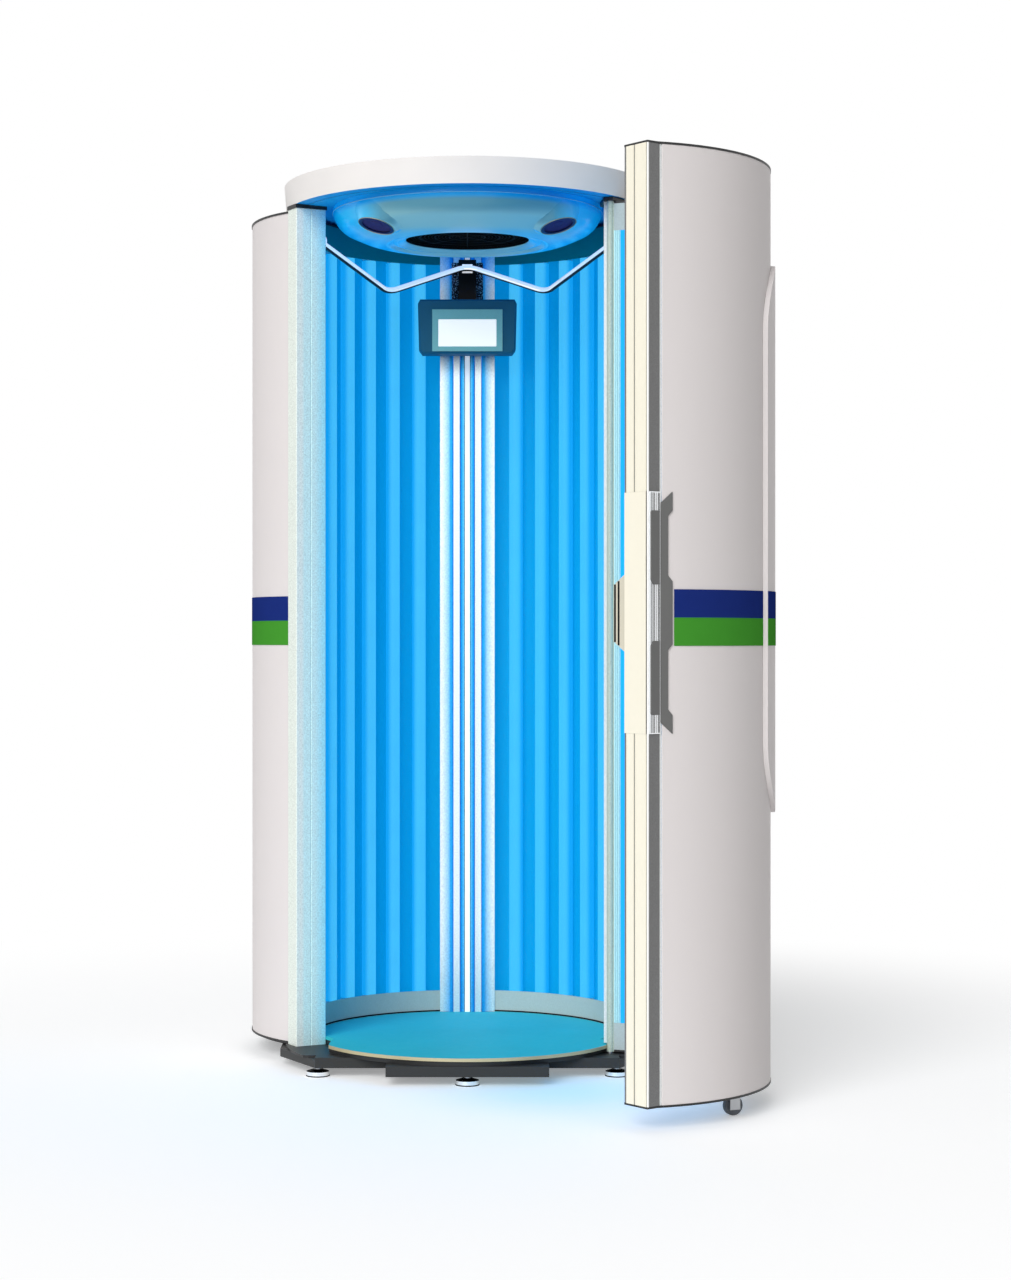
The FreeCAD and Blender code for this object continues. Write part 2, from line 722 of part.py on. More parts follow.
def cabinet_lamps():
    """Lamps of the left cabinet with the lampholders at their two ends."""
    lamps = []
    holders = []
    level = "(%s + sizes.lamp_end_room)" % BOTTOM
    holder_height = "sizes.lamp_end_room - sizes.cap_thickness"
    for index in range(LAMPS_PER_CABINET):
        bearing = "(90 + sizes.lamp_start + %d * sizes.lamp_pitch)" % index
        x = "fits.lamp_circle * cos(%s)" % bearing
        y = "fits.lamp_circle * sin(%s)" % bearing
        lamps.append(rod(x, y, level, "sizes.lamp_diameter / 2", LAMP_LENGTH))
        for z in (INNER_BOTTOM, "%s + %s" % (level, LAMP_LENGTH)):
            holders.append(holder(x, y, z, holder_height, bearing))
    return lamps, holders


def holder(x, y, z, height, bearing):
    """A lampholder block, square to the lamp circle."""
    half = "sizes.holder_width / 2"
    corner_x = "(%s) - %s * cos(%s) + %s * sin(%s)" % (x, half, bearing, half, bearing)
    corner_y = "(%s) - %s * sin(%s) - %s * cos(%s)" % (y, half, bearing, half, bearing)
    return block(corner_x, corner_y, z, "sizes.holder_width", "sizes.holder_width", height, bearing)


def ballast_stack():
    """Control gear boxes stacked in the deepest part of the left cabinet."""
    boxes = []
    bearing = "138"
    reach = "(fits.reflector_radius + sizes.reflector_thickness + 6)"
    half = "sizes.gear_length / 2"
    x = "%s * cos(%s) + %s * sin(%s)" % (reach, bearing, half, bearing)
    y = "%s * sin(%s) - %s * cos(%s)" % (reach, bearing, half, bearing)
    for index in range(GEAR_BOXES):
        z = "%s + %d * sizes.gear_height" % (INNER_BOTTOM, index)
        boxes.append(block(x, y, z, "sizes.gear_width", "sizes.gear_length", "sizes.gear_height", bearing))
    return boxes


def cabinets():
    """Both cabinets: the left one is drawn, the right one is its mirror image."""
    post = front_post()
    keep(post, "left_front_post")
    keep(mirror(post), "right_front_post")
    rear = rear_post()
    keep(group(rear, mirror(rear)), "rear_posts")
    shell = cabinet_shell()
    keep(shell, "left_cabinet_shell")
    keep(mirror(shell), "right_cabinet_shell")

    cover_inner = "sizes.cover_radius"
    cover_outer = "sizes.cover_radius + sizes.cover_thickness"
    sill_top = "%s + %s" % (BOTTOM, SILL_HEIGHT)
    clear = "%s - %s - %s" % (HEIGHT, SILL_HEIGHT, HEADER_HEIGHT)
    cover = cabinet_wall(cover_inner, cover_outer, sill_top, clear)
    keep(group(cover, mirror(cover)), "cabinet_lamp_covers")
    band_outer = "sizes.cover_radius + sizes.band_thickness"
    header_z = "%s - %s" % (TOP, HEADER_HEIGHT)
    header = cabinet_wall(cover_inner, band_outer, header_z, "%s - sizes.cap_thickness" % HEADER_HEIGHT)
    sill_height = "%s - sizes.cap_thickness" % SILL_HEIGHT
    sill = cabinet_wall(cover_inner, band_outer, INNER_BOTTOM, sill_height)
    keep(group(header, mirror(header), sill, mirror(sill)), "cabinet_end_bands")

    back = "fits.reflector_radius"
    reflector = cabinet_wall(back, back + " + sizes.reflector_thickness", INNER_BOTTOM, INNER_HEIGHT)
    keep(group(reflector, mirror(reflector)), "cabinet_reflectors")

    lamps, holders = cabinet_lamps()
    left_lamps = group(*lamps)
    keep(group(left_lamps, mirror(left_lamps)), "cabinet_lamps")
    left_holders = group(*holders)
    keep(group(left_holders, mirror(left_holders)), "cabinet_lampholders")
    gear = group(*ballast_stack())
    keep(group(gear, mirror(gear)), "control_gear_boxes")

    upper = cabinet_cap("%s - sizes.cap_thickness" % TOP)
    lower = cabinet_cap(BOTTOM)
    keep(group(upper, mirror(upper), lower, mirror(lower)), "cabinet_end_plates")

    over = "sizes.cap_overhang"
    x, y = offset_in_post_frame("-" + over, "-sizes.post_depth - " + over)
    cap = block(x, y, TOP, "sizes.post_width + 2 * " + over, "sizes.post_depth + 2 * " + over,
                "sizes.post_cap_height", POST_TURN)
    keep(group(cap, mirror(cap)), "post_caps")

    stripe_inner = "%s + %s" % (SHELL_RADIUS, GAP)
    stripe_outer = stripe_inner + " + sizes.stripe_thickness"
    for name, z in (("green", "sizes.stripe_bottom"), ("blue", "sizes.stripe_bottom + sizes.stripe_height")):
        stripe = shell_sector(stripe_inner, stripe_outer, z, "sizes.stripe_height")
        keep(group(stripe, mirror(stripe)), "cabinet_%s_stripes" % name)

    strip_width = "sizes.strip_half_width - sizes.seat_gap"
    strip_front = "fits.rear_post_front - 3"
    strip = block("-(%s)" % strip_width, strip_front, BOTTOM, "2 * (%s)" % strip_width, "11", HEIGHT)
    keep(strip, "centre_strip")


# ---------------------------------------------------------------- hinge side
def hinge_column():
    """Hollow filler between the right post and the hinge, with the seat of the hinge nose."""
    along = HINGE_ALONG
    across = HINGE_ACROSS
    width = "sizes.post_width"
    reach = "(%s + 33.5)" % across
    lip = "(%s - sizes.hinge_nose_radius - 1.7)" % along
    outer = (("0", "-" + GAP), ("%s - 18" % along, across), (lip, "%s + 3.5" % across),
             ("%s + 1.5" % lip, reach), (width, reach), (width, "-" + GAP))
    chamber = (("5", "-4"), ("%s - 10.5" % lip, "%s + 4" % reach), ("%s - 3" % width, "%s + 3" % reach),
               ("%s - 3" % width, "-4"))
    lift = "sizes.disc_support_height + sizes.disc_thickness + 4"
    body = extrusion([outer, chamber], "%s - (%s)" % (HEIGHT, lift),
                     right_post_place("%s + %s" % (BOTTOM, lift)))
    return keep(body, "hinge_column")


def hinge_brackets():
    """Top plate on the hinge column and bottom block on the end of the front beam."""
    along = HINGE_ALONG
    across = HINGE_ACROSS
    plate = (("4", "-6"), ("4", "%s / 2" % across), ("%s - 13" % along, "%s - 13" % across),
             ("%s + 13" % along, "%s - 13" % across), ("sizes.post_width - 2", "-60"),
             ("sizes.post_width - 2", "-6"))
    top = extrusion([plate], "sizes.post_cap_height - 2", right_post_place(TOP))
    keep(group(top, lower_hinge_block()), "hinge_brackets")


def hinge_pins():
    """Upper and lower hinge pins with thrust collars."""
    pin = "sizes.pin_radius"
    collar = "sizes.hinge_nose_radius"
    lower = (("0", "0"), (collar, "0"), (collar, "sizes.door_lift - sizes.seat_gap"),
             (pin, "sizes.door_lift - sizes.seat_gap"), (pin, "sizes.door_lift + sizes.pin_length"),
             ("0", "sizes.door_lift + sizes.pin_length"))
    room = "(sizes.door_head_room - sizes.seat_gap)"
    upper = (("0", "0"), (collar, "0"), (collar, "-" + room), (pin, "-" + room),
             (pin, "-sizes.door_head_room - sizes.pin_length"),
             ("0", "-sizes.door_head_room - sizes.pin_length"))
    bottom_pin = turned(lower, place("fits.hinge_x", "sizes.hinge_y", BOTTOM))
    top_pin = turned(upper, place("fits.hinge_x", "sizes.hinge_y", TOP))
    keep(group(bottom_pin, top_pin), "hinge_pins")


# ---------------------------------------------------------------- door
def door_sector(inner, outer, z, height, cutters):
    """A curved wall of the door about the booth axis, with the door closed."""
    return cut(sector(inner, outer, "180", "160", z, height), *cutters)


def door_shell_sector(inner, outer, z, height, start="185", sweep="155"):
    """A curved wall of the door about the centre of its shell, with the door closed."""
    return sector(inner, outer, start, sweep, z, height, DOOR_SHELL_X, DOOR_SHELL_Y)


def leading_profile():
    """Hollow extrusion along the closing edge of the door."""
    inset = "sizes.leading_inset"
    end = "(sizes.leading_inset + sizes.leading_width)"
    near = "sizes.leading_gap"
    far = "(sizes.leading_gap + sizes.leading_depth)"
    wall = "sizes.post_wall"
    outer = ((inset, near), (end, near), (end, far), (inset, far))
    mid = "(%s + sizes.leading_width / 2)" % inset
    chambers = []
    for start, stop in (("%s + %s" % (inset, wall), "%s - %s / 2" % (mid, wall)),
                        ("%s + %s / 2" % (mid, wall), "%s - %s" % (end, wall))):
        chambers.append(((start, "%s + %s" % (near, wall)), (stop, "%s + %s" % (near, wall)),
                         (stop, "%s - %s" % (far, wall)), (start, "%s - %s" % (far, wall))))
    body = extrusion([outer] + chambers, DOOR_INNER_HEIGHT, left_post_place(DOOR_INNER_BOTTOM))
    round_upright_edges(body, [(inset, near), (end, near)], "2")
    return keep(body, "door_leading_profile", True)


def hinge_profile():
    """Extrusion along the hinge edge with a round nose that turns on the pins."""
    width = "sizes.hinge_profile_width"
    depth = "sizes.hinge_profile_depth"
    nose = "sizes.hinge_nose_radius"
    web = extrusion([(("-3", "-" + depth), (width, "-" + depth), (width, "0"), ("-3", "0"))],
                    DOOR_HEIGHT, hinge_place(DOOR_BOTTOM))
    barrel = rod("fits.hinge_x", "sizes.hinge_y", DOOR_BOTTOM, nose, DOOR_HEIGHT)
    bore = rod("fits.hinge_x", "sizes.hinge_y", "%s - 1" % DOOR_BOTTOM,
               "sizes.pin_radius + sizes.pin_clearance", "%s + 2" % DOOR_HEIGHT)
    return keep(cut(fuse(web, barrel), bore), "door_hinge_profile", True)


def door_panels():
    """Lamp cover, end bands, retainers, reflector and shell of the door."""
    hinge_edge = "(sizes.hinge_profile_depth + sizes.seat_gap)"
    hinge_side = hinge_cutter(hinge_edge)
    cover_side = hinge_cutter("%s + sizes.retainer_width + sizes.seat_gap" % hinge_edge)
    lead = leading_cutter()
    inner = "sizes.cover_radius"
    sill_z = "%s + %s" % (BOTTOM, SILL_HEIGHT)
    clear = "%s - %s - %s" % (HEIGHT, SILL_HEIGHT, HEADER_HEIGHT)
    cover = door_sector(inner, inner + " + sizes.cover_thickness", sill_z, clear, [cover_side, lead])
    keep(cover, "door_lamp_cover", True)
    band_outer = inner + " + sizes.band_thickness"
    header_z = "%s - %s" % (TOP, HEADER_HEIGHT)
    header_height = "%s - sizes.cap_thickness - sizes.door_head_room" % HEADER_HEIGHT
    header = door_sector(inner, band_outer, header_z, header_height, [hinge_side, lead])
    sill_height = "%s - sizes.cap_thickness - sizes.door_lift" % SILL_HEIGHT
    sill = door_sector(inner, band_outer, DOOR_INNER_BOTTOM, sill_height, [hinge_side, lead])
    keep(group(header, sill), "door_end_bands", True)

    strip = door_sector(inner, band_outer, sill_z, clear, [hinge_side, lead])
    edge = common(strip, hinge_cutter("%s + sizes.retainer_width" % hinge_edge))
    ribs = [edge]
    rib_width = "2.4"
    for index in range(3):
        depth = "%s + 2.5 + %s" % (hinge_edge, "%g" % (index * 4.8))
        raised = door_sector(inner + " - 2.5", inner + " + 1", sill_z, clear, [hinge_cutter(depth), lead])
        rib = common(raised, hinge_cutter("%s + %s" % (depth, rib_width)))
        ribs.append(rib)
    keep(fuse(*ribs), "door_cover_retainer", True)

    shell_outer = DOOR_SHELL_RADIUS
    shell = door_shell_sector("%s - sizes.shell_thickness" % shell_outer, shell_outer, DOOR_INNER_BOTTOM,
                              DOOR_INNER_HEIGHT)
    keep(cut(shell, hinge_side, lead), "door_shell", True)

    plates = []
    for z in (DOOR_BOTTOM, "%s + %s - sizes.cap_thickness" % (DOOR_BOTTOM, DOOR_HEIGHT)):
        plate = rod(DOOR_SHELL_X, DOOR_SHELL_Y, z, shell_outer + " + 1", "sizes.cap_thickness")
        hollow = rod("0", "0", "-10", inner, "4000")
        behind = block("-1000", "-10", "-10", "2000", "1000", "4000")
        wide = cut(plate, hollow, behind, hinge_side)
        x, y = offset_in_post_frame("sizes.leading_inset", "sizes.leading_gap")
        nose = block(x, y, z, "sizes.leading_width", "sizes.leading_depth", "sizes.cap_thickness",
                     POST_TURN)
        post_side = leading_cap_cutter()
        plates.append(fuse(cut(wide, post_side), nose))
    keep(group(*plates), "door_end_plates", True)

    back = "(%s - sizes.shell_thickness - 1.2)" % shell_outer
    reflector = door_shell_sector("%s - 1" % back, back, DOOR_INNER_BOTTOM, DOOR_INNER_HEIGHT,
                                  "sizes.door_mid_angle - 58", "116")
    keep(reflector, "door_reflector", True)


def leading_cap_cutter():
    """Everything on the post side of the leading profile's front face."""
    x, y = offset_in_post_frame("-300", "-900")
    return block(x, y, "-10", "900", "900 + sizes.leading_gap", "4000", POST_TURN)


def door_lamps():
    """Lamps of the door with their lampholders."""
    lamps = []
    holders = []
    level = "(%s + (%s - %s) / 2)" % (DOOR_BOTTOM, DOOR_HEIGHT, LAMP_LENGTH)
    holder_height = "(%s - %s) / 2 - sizes.cap_thickness" % (DOOR_HEIGHT, LAMP_LENGTH)
    circle = "(fits.lamp_circle - 1.5)"
    for index in range(LAMPS_IN_DOOR):
        step = index - (LAMPS_IN_DOOR - 1) / 2
        bearing = "(sizes.door_mid_angle + %g * sizes.door_lamp_pitch)" % step
        x = "%s * cos(%s)" % (circle, bearing)
        y = "%s * sin(%s)" % (circle, bearing)
        lamps.append(rod(x, y, level, "sizes.lamp_diameter / 2 - 1", LAMP_LENGTH))
        for z in (DOOR_INNER_BOTTOM, "%s + %s" % (level, LAMP_LENGTH)):
            holders.append(holder(x, y, z, holder_height, bearing))
    keep(group(*lamps), "door_lamps", True)
    keep(group(*holders), "door_lampholders", True)


def door_front_panel():
    """Upright pill-shaped raised panel on the outside of the door, and the bands over it."""
    shell_outer = DOOR_SHELL_RADIUS
    skin = shell_outer + " + sizes.front_panel_thickness"
    half = "sizes.front_panel_width / 2"
    swing = "35"
    whole = door_shell_sector(shell_outer + " + " + GAP, skin, "sizes.front_panel_bottom",
                              "sizes.front_panel_height", "sizes.door_mid_angle - " + swing, "2 * " + swing)
    body = doc.addObject("PartDesign::Body", "pill")
    section = sketch_in(body, "YZ_Plane")
    straight = "sizes.front_panel_height - sizes.front_panel_width"
    low = "sizes.front_panel_bottom + " + half
    high = "%s + %s" % (low, straight)
    pill_outline(section, half, low, high)
    pad = body.newObject("PartDesign::Pad", "pad")
    pad.Profile = section
    pad.setExpression("Length", "2 * " + DOOR_SHELL_RADIUS)
    body.setExpression("Placement", place(turn="sizes.door_mid_angle"))
    doc.recompute()
    keep(common(whole, body), "door_front_panel", True)

    lead = stripe_start_cutter()
    hinge_side = hinge_cutter("(sizes.hinge_profile_depth + sizes.seat_gap)")
    thick = "sizes.stripe_thickness"
    for name, z in (("green", "sizes.stripe_bottom"), ("blue", "sizes.stripe_bottom + sizes.stripe_height")):
        height = "sizes.stripe_height"
        on_shell = door_shell_sector("%s + %s" % (shell_outer, GAP),
                                     "%s + %s + %s" % (shell_outer, GAP, thick), z, height)
        turn = "sizes.door_mid_angle"
        window_x = "-(%s + %s) * sin(%s)" % ("-" + half, "-" + GAP, turn)
        window_y = "(%s + %s) * cos(%s)" % ("-" + half, "-" + GAP, turn)
        window = block(window_x, window_y, "0", "700", "2 * (%s + %s)" % (half, GAP), "4000", turn)
        around = cut(on_shell, lead, hinge_side, window)
        on_panel = door_shell_sector("%s + %s" % (skin, GAP), "%s + %s + %s" % (skin, GAP, thick), z, height)
        slot_x = "%s * sin(%s)" % (half, turn)
        slot_y = "-%s * cos(%s)" % (half, turn)
        slot = block(slot_x, slot_y, "0", "700", "2 * %s" % half, "4000", turn)
        keep(group(around, common(on_panel, slot)), "door_%s_stripe" % name, True)


def pill_outline(sketch, half, low, high):
    """An upright slot outline of half width about x = 0 between two end centres."""
    radius = value(half)
    z_low = value(low)
    z_high = value(high)
    up = FreeCAD.Vector(0, 0, 1)
    top = Part.ArcOfCircle(Part.Circle(FreeCAD.Vector(0, z_high, 0), up, radius), 0, math.pi)
    bottom = Part.ArcOfCircle(Part.Circle(FreeCAD.Vector(0, z_low, 0), up, radius), math.pi, 2 * math.pi)
    left = Part.LineSegment(FreeCAD.Vector(-radius, z_high, 0), FreeCAD.Vector(-radius, z_low, 0))
    right = Part.LineSegment(FreeCAD.Vector(radius, z_low, 0), FreeCAD.Vector(radius, z_high, 0))
    for piece in (top, left, bottom, right):
        sketch.addGeometry(piece, False)
    for first, first_end, second, second_end in ((0, 2, 1, 1), (1, 2, 2, 1), (2, 2, 3, 1), (3, 2, 0, 1)):
        sketch.addConstraint(Sketcher.Constraint("Tangent", first, first_end, second, second_end))
    for arc, expression in ((0, high), (2, low)):
        index = sketch.addConstraint(Sketcher.Constraint("DistanceY", -1, 1, arc, 3, value(expression)))
        sketch.setExpression("Constraints[%d]" % index, expression)
        sketch.addConstraint(Sketcher.Constraint("PointOnObject", arc, 3, -2))
    index = sketch.addConstraint(Sketcher.Constraint("Radius", 0, radius))
    sketch.setExpression("Constraints[%d]" % index, half)


def stripe_start_cutter():
    """Clears the coloured bands from behind the outer handle bracket."""
    x, y = offset_in_post_frame("-300", "-900")
    depth = "900 + sizes.leading_gap + sizes.leading_depth + 27"
    return block(x, y, "-10", "900", depth, "4000", POST_TURN)


# ---------------------------------------------------------------- door furniture
def seal_strips():
    """Two cushion strips along the closing face of the door."""
    face = "sizes.leading_gap - sizes.seal_thickness"
    strips = []
    for start, width in (("sizes.inner_seal_start", "sizes.inner_seal_width"),
                         ("sizes.outer_seal_start", "sizes.outer_seal_width")):
        x, y = offset_in_post_frame("sizes.leading_inset + " + start, face)
        strips.append(block(x, y, DOOR_INNER_BOTTOM, width, "sizes.seal_thickness",
                            DOOR_INNER_HEIGHT, POST_TURN))
    return strips


def door_furniture():
    """Face plate, outer handle with its pads and bracket, and the inner grip."""
    z = "sizes.handle_bottom"
    tall = "sizes.handle_height"
    thick = "sizes.face_plate_thickness"
    face = "sizes.leading_gap - " + thick
    plate_width = "sizes.face_plate_width"
    start = "sizes.leading_inset + (sizes.leading_width - %s) / 2" % plate_width
    x, y = offset_in_post_frame(start, face)
    plate = block(x, y, z, plate_width, thick, tall, POST_TURN)
    keep(plate, "door_face_plate", True)
    around = offset_in_post_frame("%s - 1" % start, "%s - 1" % face)
    opening = block(around[0], around[1], "%s - %s" % (z, GAP), "%s + 2" % plate_width, thick + " + 1",
                    "%s + 2 * %s" % (tall, GAP), POST_TURN)
    keep(group(*[cut(strip, opening) for strip in seal_strips()]), "door_seal_strips", True)

    side = "(sizes.leading_inset + sizes.leading_width)"
    near = "(sizes.leading_gap + 4)"
    far = "(%s + sizes.handle_width)" % near
    out = "(%s + sizes.handle_projection)" % side
    low = "(%s - 2)" % out
    section = (
        (side, near), (low, near), (out, near + " + 1"), (out, near + " + 2.5"), (low, near + " + 3.5"),
        (low, near + " + 5"), (out, near + " + 6"), (out, near + " + 7.5"), (low, near + " + 8.5"),
        (low, far + " - 3"), (out, far + " - 2"), (out, far), (side, far))
    pull = extrusion([section], tall, left_post_place(z))
    keep(pull, "door_pull_handle", True)

    pads = [handle_pad(out, near), handle_pad(out, near, upper=True)]
    keep(group(*pads), "door_handle_pads", True)
    keep(handle_bracket(), "door_handle_bracket", True)
    keep(inner_grip(), "door_inner_grip", True)


def handle_pad(seat, near, upper=False):
    """A finger pad on the pull handle, with sloping corners at the end next to its twin."""
    body = doc.addObject("PartDesign::Body", "pad_body")
    section = sketch_in(body, "YZ_Plane")
    start = "(%s + 2)" % near
    end = "(%s + sizes.pad_width)" % start
    tall = "sizes.pad_height"
    corners = (("0", "4"), ("4", "0"), (end + " - " + start, "0"), (end + " - " + start, tall),
               ("8", tall), ("0", tall + " - 13"))
    if upper:
        corners = [(x, "%s - (%s)" % (tall, y)) for x, y in reversed(corners)]
    outline(section, corners)
    pad = body.newObject("PartDesign::Pad", "pad")
    pad.Profile = section
    pad.setExpression("Length", "sizes.pad_rise")
    x, y = offset_in_post_frame("%s + %s" % (seat, GAP), start)
    rise = "sizes.handle_height - sizes.pad_inset - sizes.pad_height" if upper else "sizes.pad_inset"
    body.setExpression("Placement", place(x, y, "sizes.handle_bottom + " + rise, POST_TURN))
    doc.recompute()
    return body


def handle_bracket():
    """Curved plate on the shell beside the pull handle: a spine with three wider tabs."""
    body = doc.addObject("PartDesign::Body", "bracket")
    section = sketch_in(body, "YZ_Plane")
    spine = "sizes.bracket_spine"
    tab = "sizes.bracket_tab"
    tall = "sizes.handle_height"
    end = "sizes.bracket_tab_height"
    shoulder = "sizes.bracket_shoulder"
    slope = "sizes.bracket_end_slope"
    low = "(%s - sizes.bracket_middle_height) / 2" % tall
    high = "(%s + sizes.bracket_middle_height) / 2" % tall
    corners = (
        ("0", slope), (tab, "0"), (tab, end), (spine, "%s + %s" % (end, shoulder)),
        (spine, "%s - %s" % (low, shoulder)), (tab, low), (tab, high),
        (spine, "%s + %s" % (high, shoulder)), (spine, "%s - %s - %s" % (tall, end, shoulder)),
        (tab, "%s - %s" % (tall, end)), (tab, tall), ("0", "%s - %s" % (tall, slope)))
    outline(section, corners)
    pad = body.newObject("PartDesign::Pad", "pad")
    pad.Profile = section
    pad.setExpression("Length", "sizes.leading_width")
    x, y = offset_in_post_frame("sizes.leading_width - 18", "sizes.leading_gap + sizes.leading_depth - 6")
    body.setExpression("Placement", place(x, y, "sizes.handle_bottom", POST_TURN))
    doc.recompute()
    inner = "%s + %s" % (DOOR_SHELL_RADIUS, GAP)
    sheet_metal = door_shell_sector(inner, inner + " + 3", "sizes.handle_bottom", tall, "185", "60")
    return common(sheet_metal, body)


def inner_grip():
    """Trapezoid grip on the inner side of the leading profile, grooved from end to end."""
    body = doc.addObject("PartDesign::Body", "grip")
    section = sketch_in(body, "XZ_Plane")
    reach = "sizes.grip_projection"
    tall = "sizes.grip_height"
    outline(section, (("0", "0"), ("0", tall), ("-" + reach, "%s - sizes.grip_slope" % tall),
                      ("-" + reach, "sizes.grip_slope")))
    pad = body.newObject("PartDesign::Pad", "pad")
    pad.Profile = section
    pad.setExpression("Length", "sizes.grip_width")
    grooves = sketch_in(body)
    face = "(1.5 - sizes.grip_width)"
    for start in ("%s * 0.5" % reach, "%s * 0.83" % reach):
        near = "-(%s)" % start
        far = "-(%s) - 4" % start
        outline(grooves, ((near, face + " - 3"), (near, face), (far, face), (far, face + " - 3")))
    pocket = body.newObject("PartDesign::Pocket", "grooves")
    pocket.Profile = grooves
    pocket.Reversed = True
    pocket.setExpression("Length", tall)
    x, y = offset_in_post_frame("sizes.leading_inset - sizes.seat_gap",
                                "sizes.leading_gap + sizes.grip_width + 2")
    body.setExpression("Placement", place(x, y, "sizes.grip_bottom", POST_TURN))
    doc.recompute()
    return body


# ---------------------------------------------------------------- door roller
def door_roller():
    """Roller under the door, its axle pointing at the hinge line."""
    bearing = "atan2(fits.roller_y - sizes.hinge_y; fits.roller_x - fits.hinge_x)"
    spot = ("fits.roller_x", "fits.roller_y")
    radius = "sizes.roller_radius"
    width = "sizes.roller_width"
    axle = "sizes.roller_axle_radius"
    lying = "placement(vector(%s; %s; %s); rotation(vector(0; 0; 1); %s) * rotation(vector(0; 1; 0); 90))"
    level = lying % (spot[0], spot[1], radius, bearing)
    half = width + " / 2"
    tyre = turned((("%s + 0.05" % axle, "-" + half), (radius + " - 6", "-" + half),
                   (radius + " - 5", "1.5 - " + half),
                   (radius + " - 1.5", "1.5 - " + half), (radius, "3.5 - " + half), (radius, half + " - 3.5"),
                   (radius + " - 1.5", half + " - 1.5"), (radius + " - 5", half + " - 1.5"),
                   (radius + " - 6", half), ("%s + 0.05" % axle, half)), level)
    keep(tyre, "door_roller", True)
    pin = turned((("0", "-%s - 4" % half), (axle, "-%s - 4" % half), (axle, "%s + 4" % half),
                  ("0", "%s + 4" % half)), level)
    fork = doc.addObject("PartDesign::Body", "fork")
    section = sketch_in(fork, "XZ_Plane")
    cheek = "(%s + 0.6)" % half
    out = "(%s + 3.6)" % half
    roof = "(%s - sizes.roller_radius)" % DOOR_BOTTOM
    outline(section, (("-" + out, "-9"), ("-" + cheek, "-9"), ("-" + cheek, roof + " - 3"),
                      (cheek, roof + " - 3"),
                      (cheek, "-9"), (out, "-9"), (out, roof), ("-" + out, roof)))
    pad = fork.newObject("PartDesign::Pad", "pad")
    pad.Profile = section
    pad.setExpression("Length", "sizes.fork_length")
    pad.Midplane = True
    fork.setExpression("Placement", place(spot[0], spot[1], radius, bearing))
    doc.recompute()
    drill = turned((("0", "-40"), (axle, "-40"), (axle, "40"), ("0", "40")), level)
    keep(group(cut(fork, drill), pin), "door_roller_fork", True)


# ---------------------------------------------------------------- canopy
def canopy():
    """Tapered band over the booth with a lip inside and the roof plate on the lip."""
    outer = "fits.canopy_radius"
    foot = "%s - sizes.canopy_taper" % outer
    wall = "sizes.canopy_wall"
    drop = "sizes.post_cap_height"
    tall = "sizes.canopy_height"
    lip = "fits.canopy_lip_radius"
    corners = ((lip, drop), (foot + " - " + wall, drop), (foot + " - " + wall, GAP), (foot, GAP),
               (foot + " + 1", drop), (outer, drop + " + " + tall), (outer + " - 14", drop + " + " + tall),
               (outer + " - 14", "%s + %s - %s" % (drop, tall, wall)),
               (outer + " - " + wall, "%s + %s - %s" % (drop, tall, wall)),
               (foot + " - " + wall + " + 1", "%s + %s" % (drop, wall)), (lip, "%s + %s" % (drop, wall)))
    band = turned(corners, place("0", "sizes.canopy_y", TOP))
    x, y = offset_in_post_frame("-500", "-sizes.post_depth - sizes.cap_overhang - " + GAP)
    left = block(x, y, "%s - 1" % TOP, "1500", "1200", "1 + " + drop, POST_TURN)
    keep(cut(band, left, mirror(left)), "canopy_band")
    plate_z = "%s + %s" % (CAPS_TOP, wall)
    plate = rod("0", "sizes.canopy_y", plate_z, "%s - %s - 2" % (foot, wall), "2")
    hole = rod("0", "0", "%s - 1" % plate_z, "sizes.fan_radius", "4")
    keep(cut(plate, hole), "roof_plate")


DOME_FORM = (
    # Radius, depth below the roof and rounding of each corner, from the fan throat out to the rim.
    ("sizes.fan_radius", "sizes.dome_depth - 13", "0"),
    ("sizes.fan_radius + 3", "sizes.dome_depth - 11", "0"),
    ("sizes.fan_radius + 20", "sizes.dome_depth - 5", "0"),
    ("sizes.fan_radius + 33", "sizes.dome_depth - 7", "0"),
    ("sizes.fan_radius + 44", "sizes.dome_depth - 1", "0"),
    ("sizes.fan_radius + 51", "sizes.dome_depth", "0"),
    ("sizes.fan_radius + 47 + 0.447 * fits.dome_run", "sizes.dome_depth - 8", "1.626 * fits.dome_run"),
    ("fits.dome_radius - 19", "sizes.dome_depth - 38", "60"),
    ("fits.dome_radius", "sizes.dome_depth - 73", "30"),
)


def dome_section():
    """Half section of the ceiling moulding: a rounded outline, and the same line set in by the wall."""
    wall = value("sizes.dome_thickness")
    roof = value("%s + sizes.canopy_wall" % CAPS_TOP)
    under = [FreeCAD.Vector(value("sizes.fan_radius"), 0, roof)]
    under += [FreeCAD.Vector(value(radius), 0, roof - value(drop)) for radius, drop, rounding in DOME_FORM]
    under.append(FreeCAD.Vector(value("fits.dome_radius"), 0, roof))
    under_radii = [value(rounding) for radius, drop, rounding in DOME_FORM]
    over = [under[0] + FreeCAD.Vector(wall, 0, 0)]
    over_radii = []
    for before, corner, after, radius in zip(under, under[1:], under[2:], under_radii):
        coming = (corner - before).normalize()
        leaving = (after - corner).normalize()
        inwards = FreeCAD.Vector(-coming.z - leaving.z, 0, coming.x + leaving.x)
        over.append(corner + inwards * (wall / (1 + coming.dot(leaving))))
        over_radii.append(max(radius - wall, 0))
    over.append(under[-1] - FreeCAD.Vector(wall, 0, 0))
    rim = Part.LineSegment(under[-1], over[-1]).toShape()
    throat = Part.LineSegment(over[0], under[0]).toShape()
    lower_face = rounded_path(under, under_radii)
    upper_face = rounded_path(over[::-1], over_radii[::-1], chords=3)
    return Part.Face(Part.Wire(lower_face + [rim] + upper_face + [throat]))


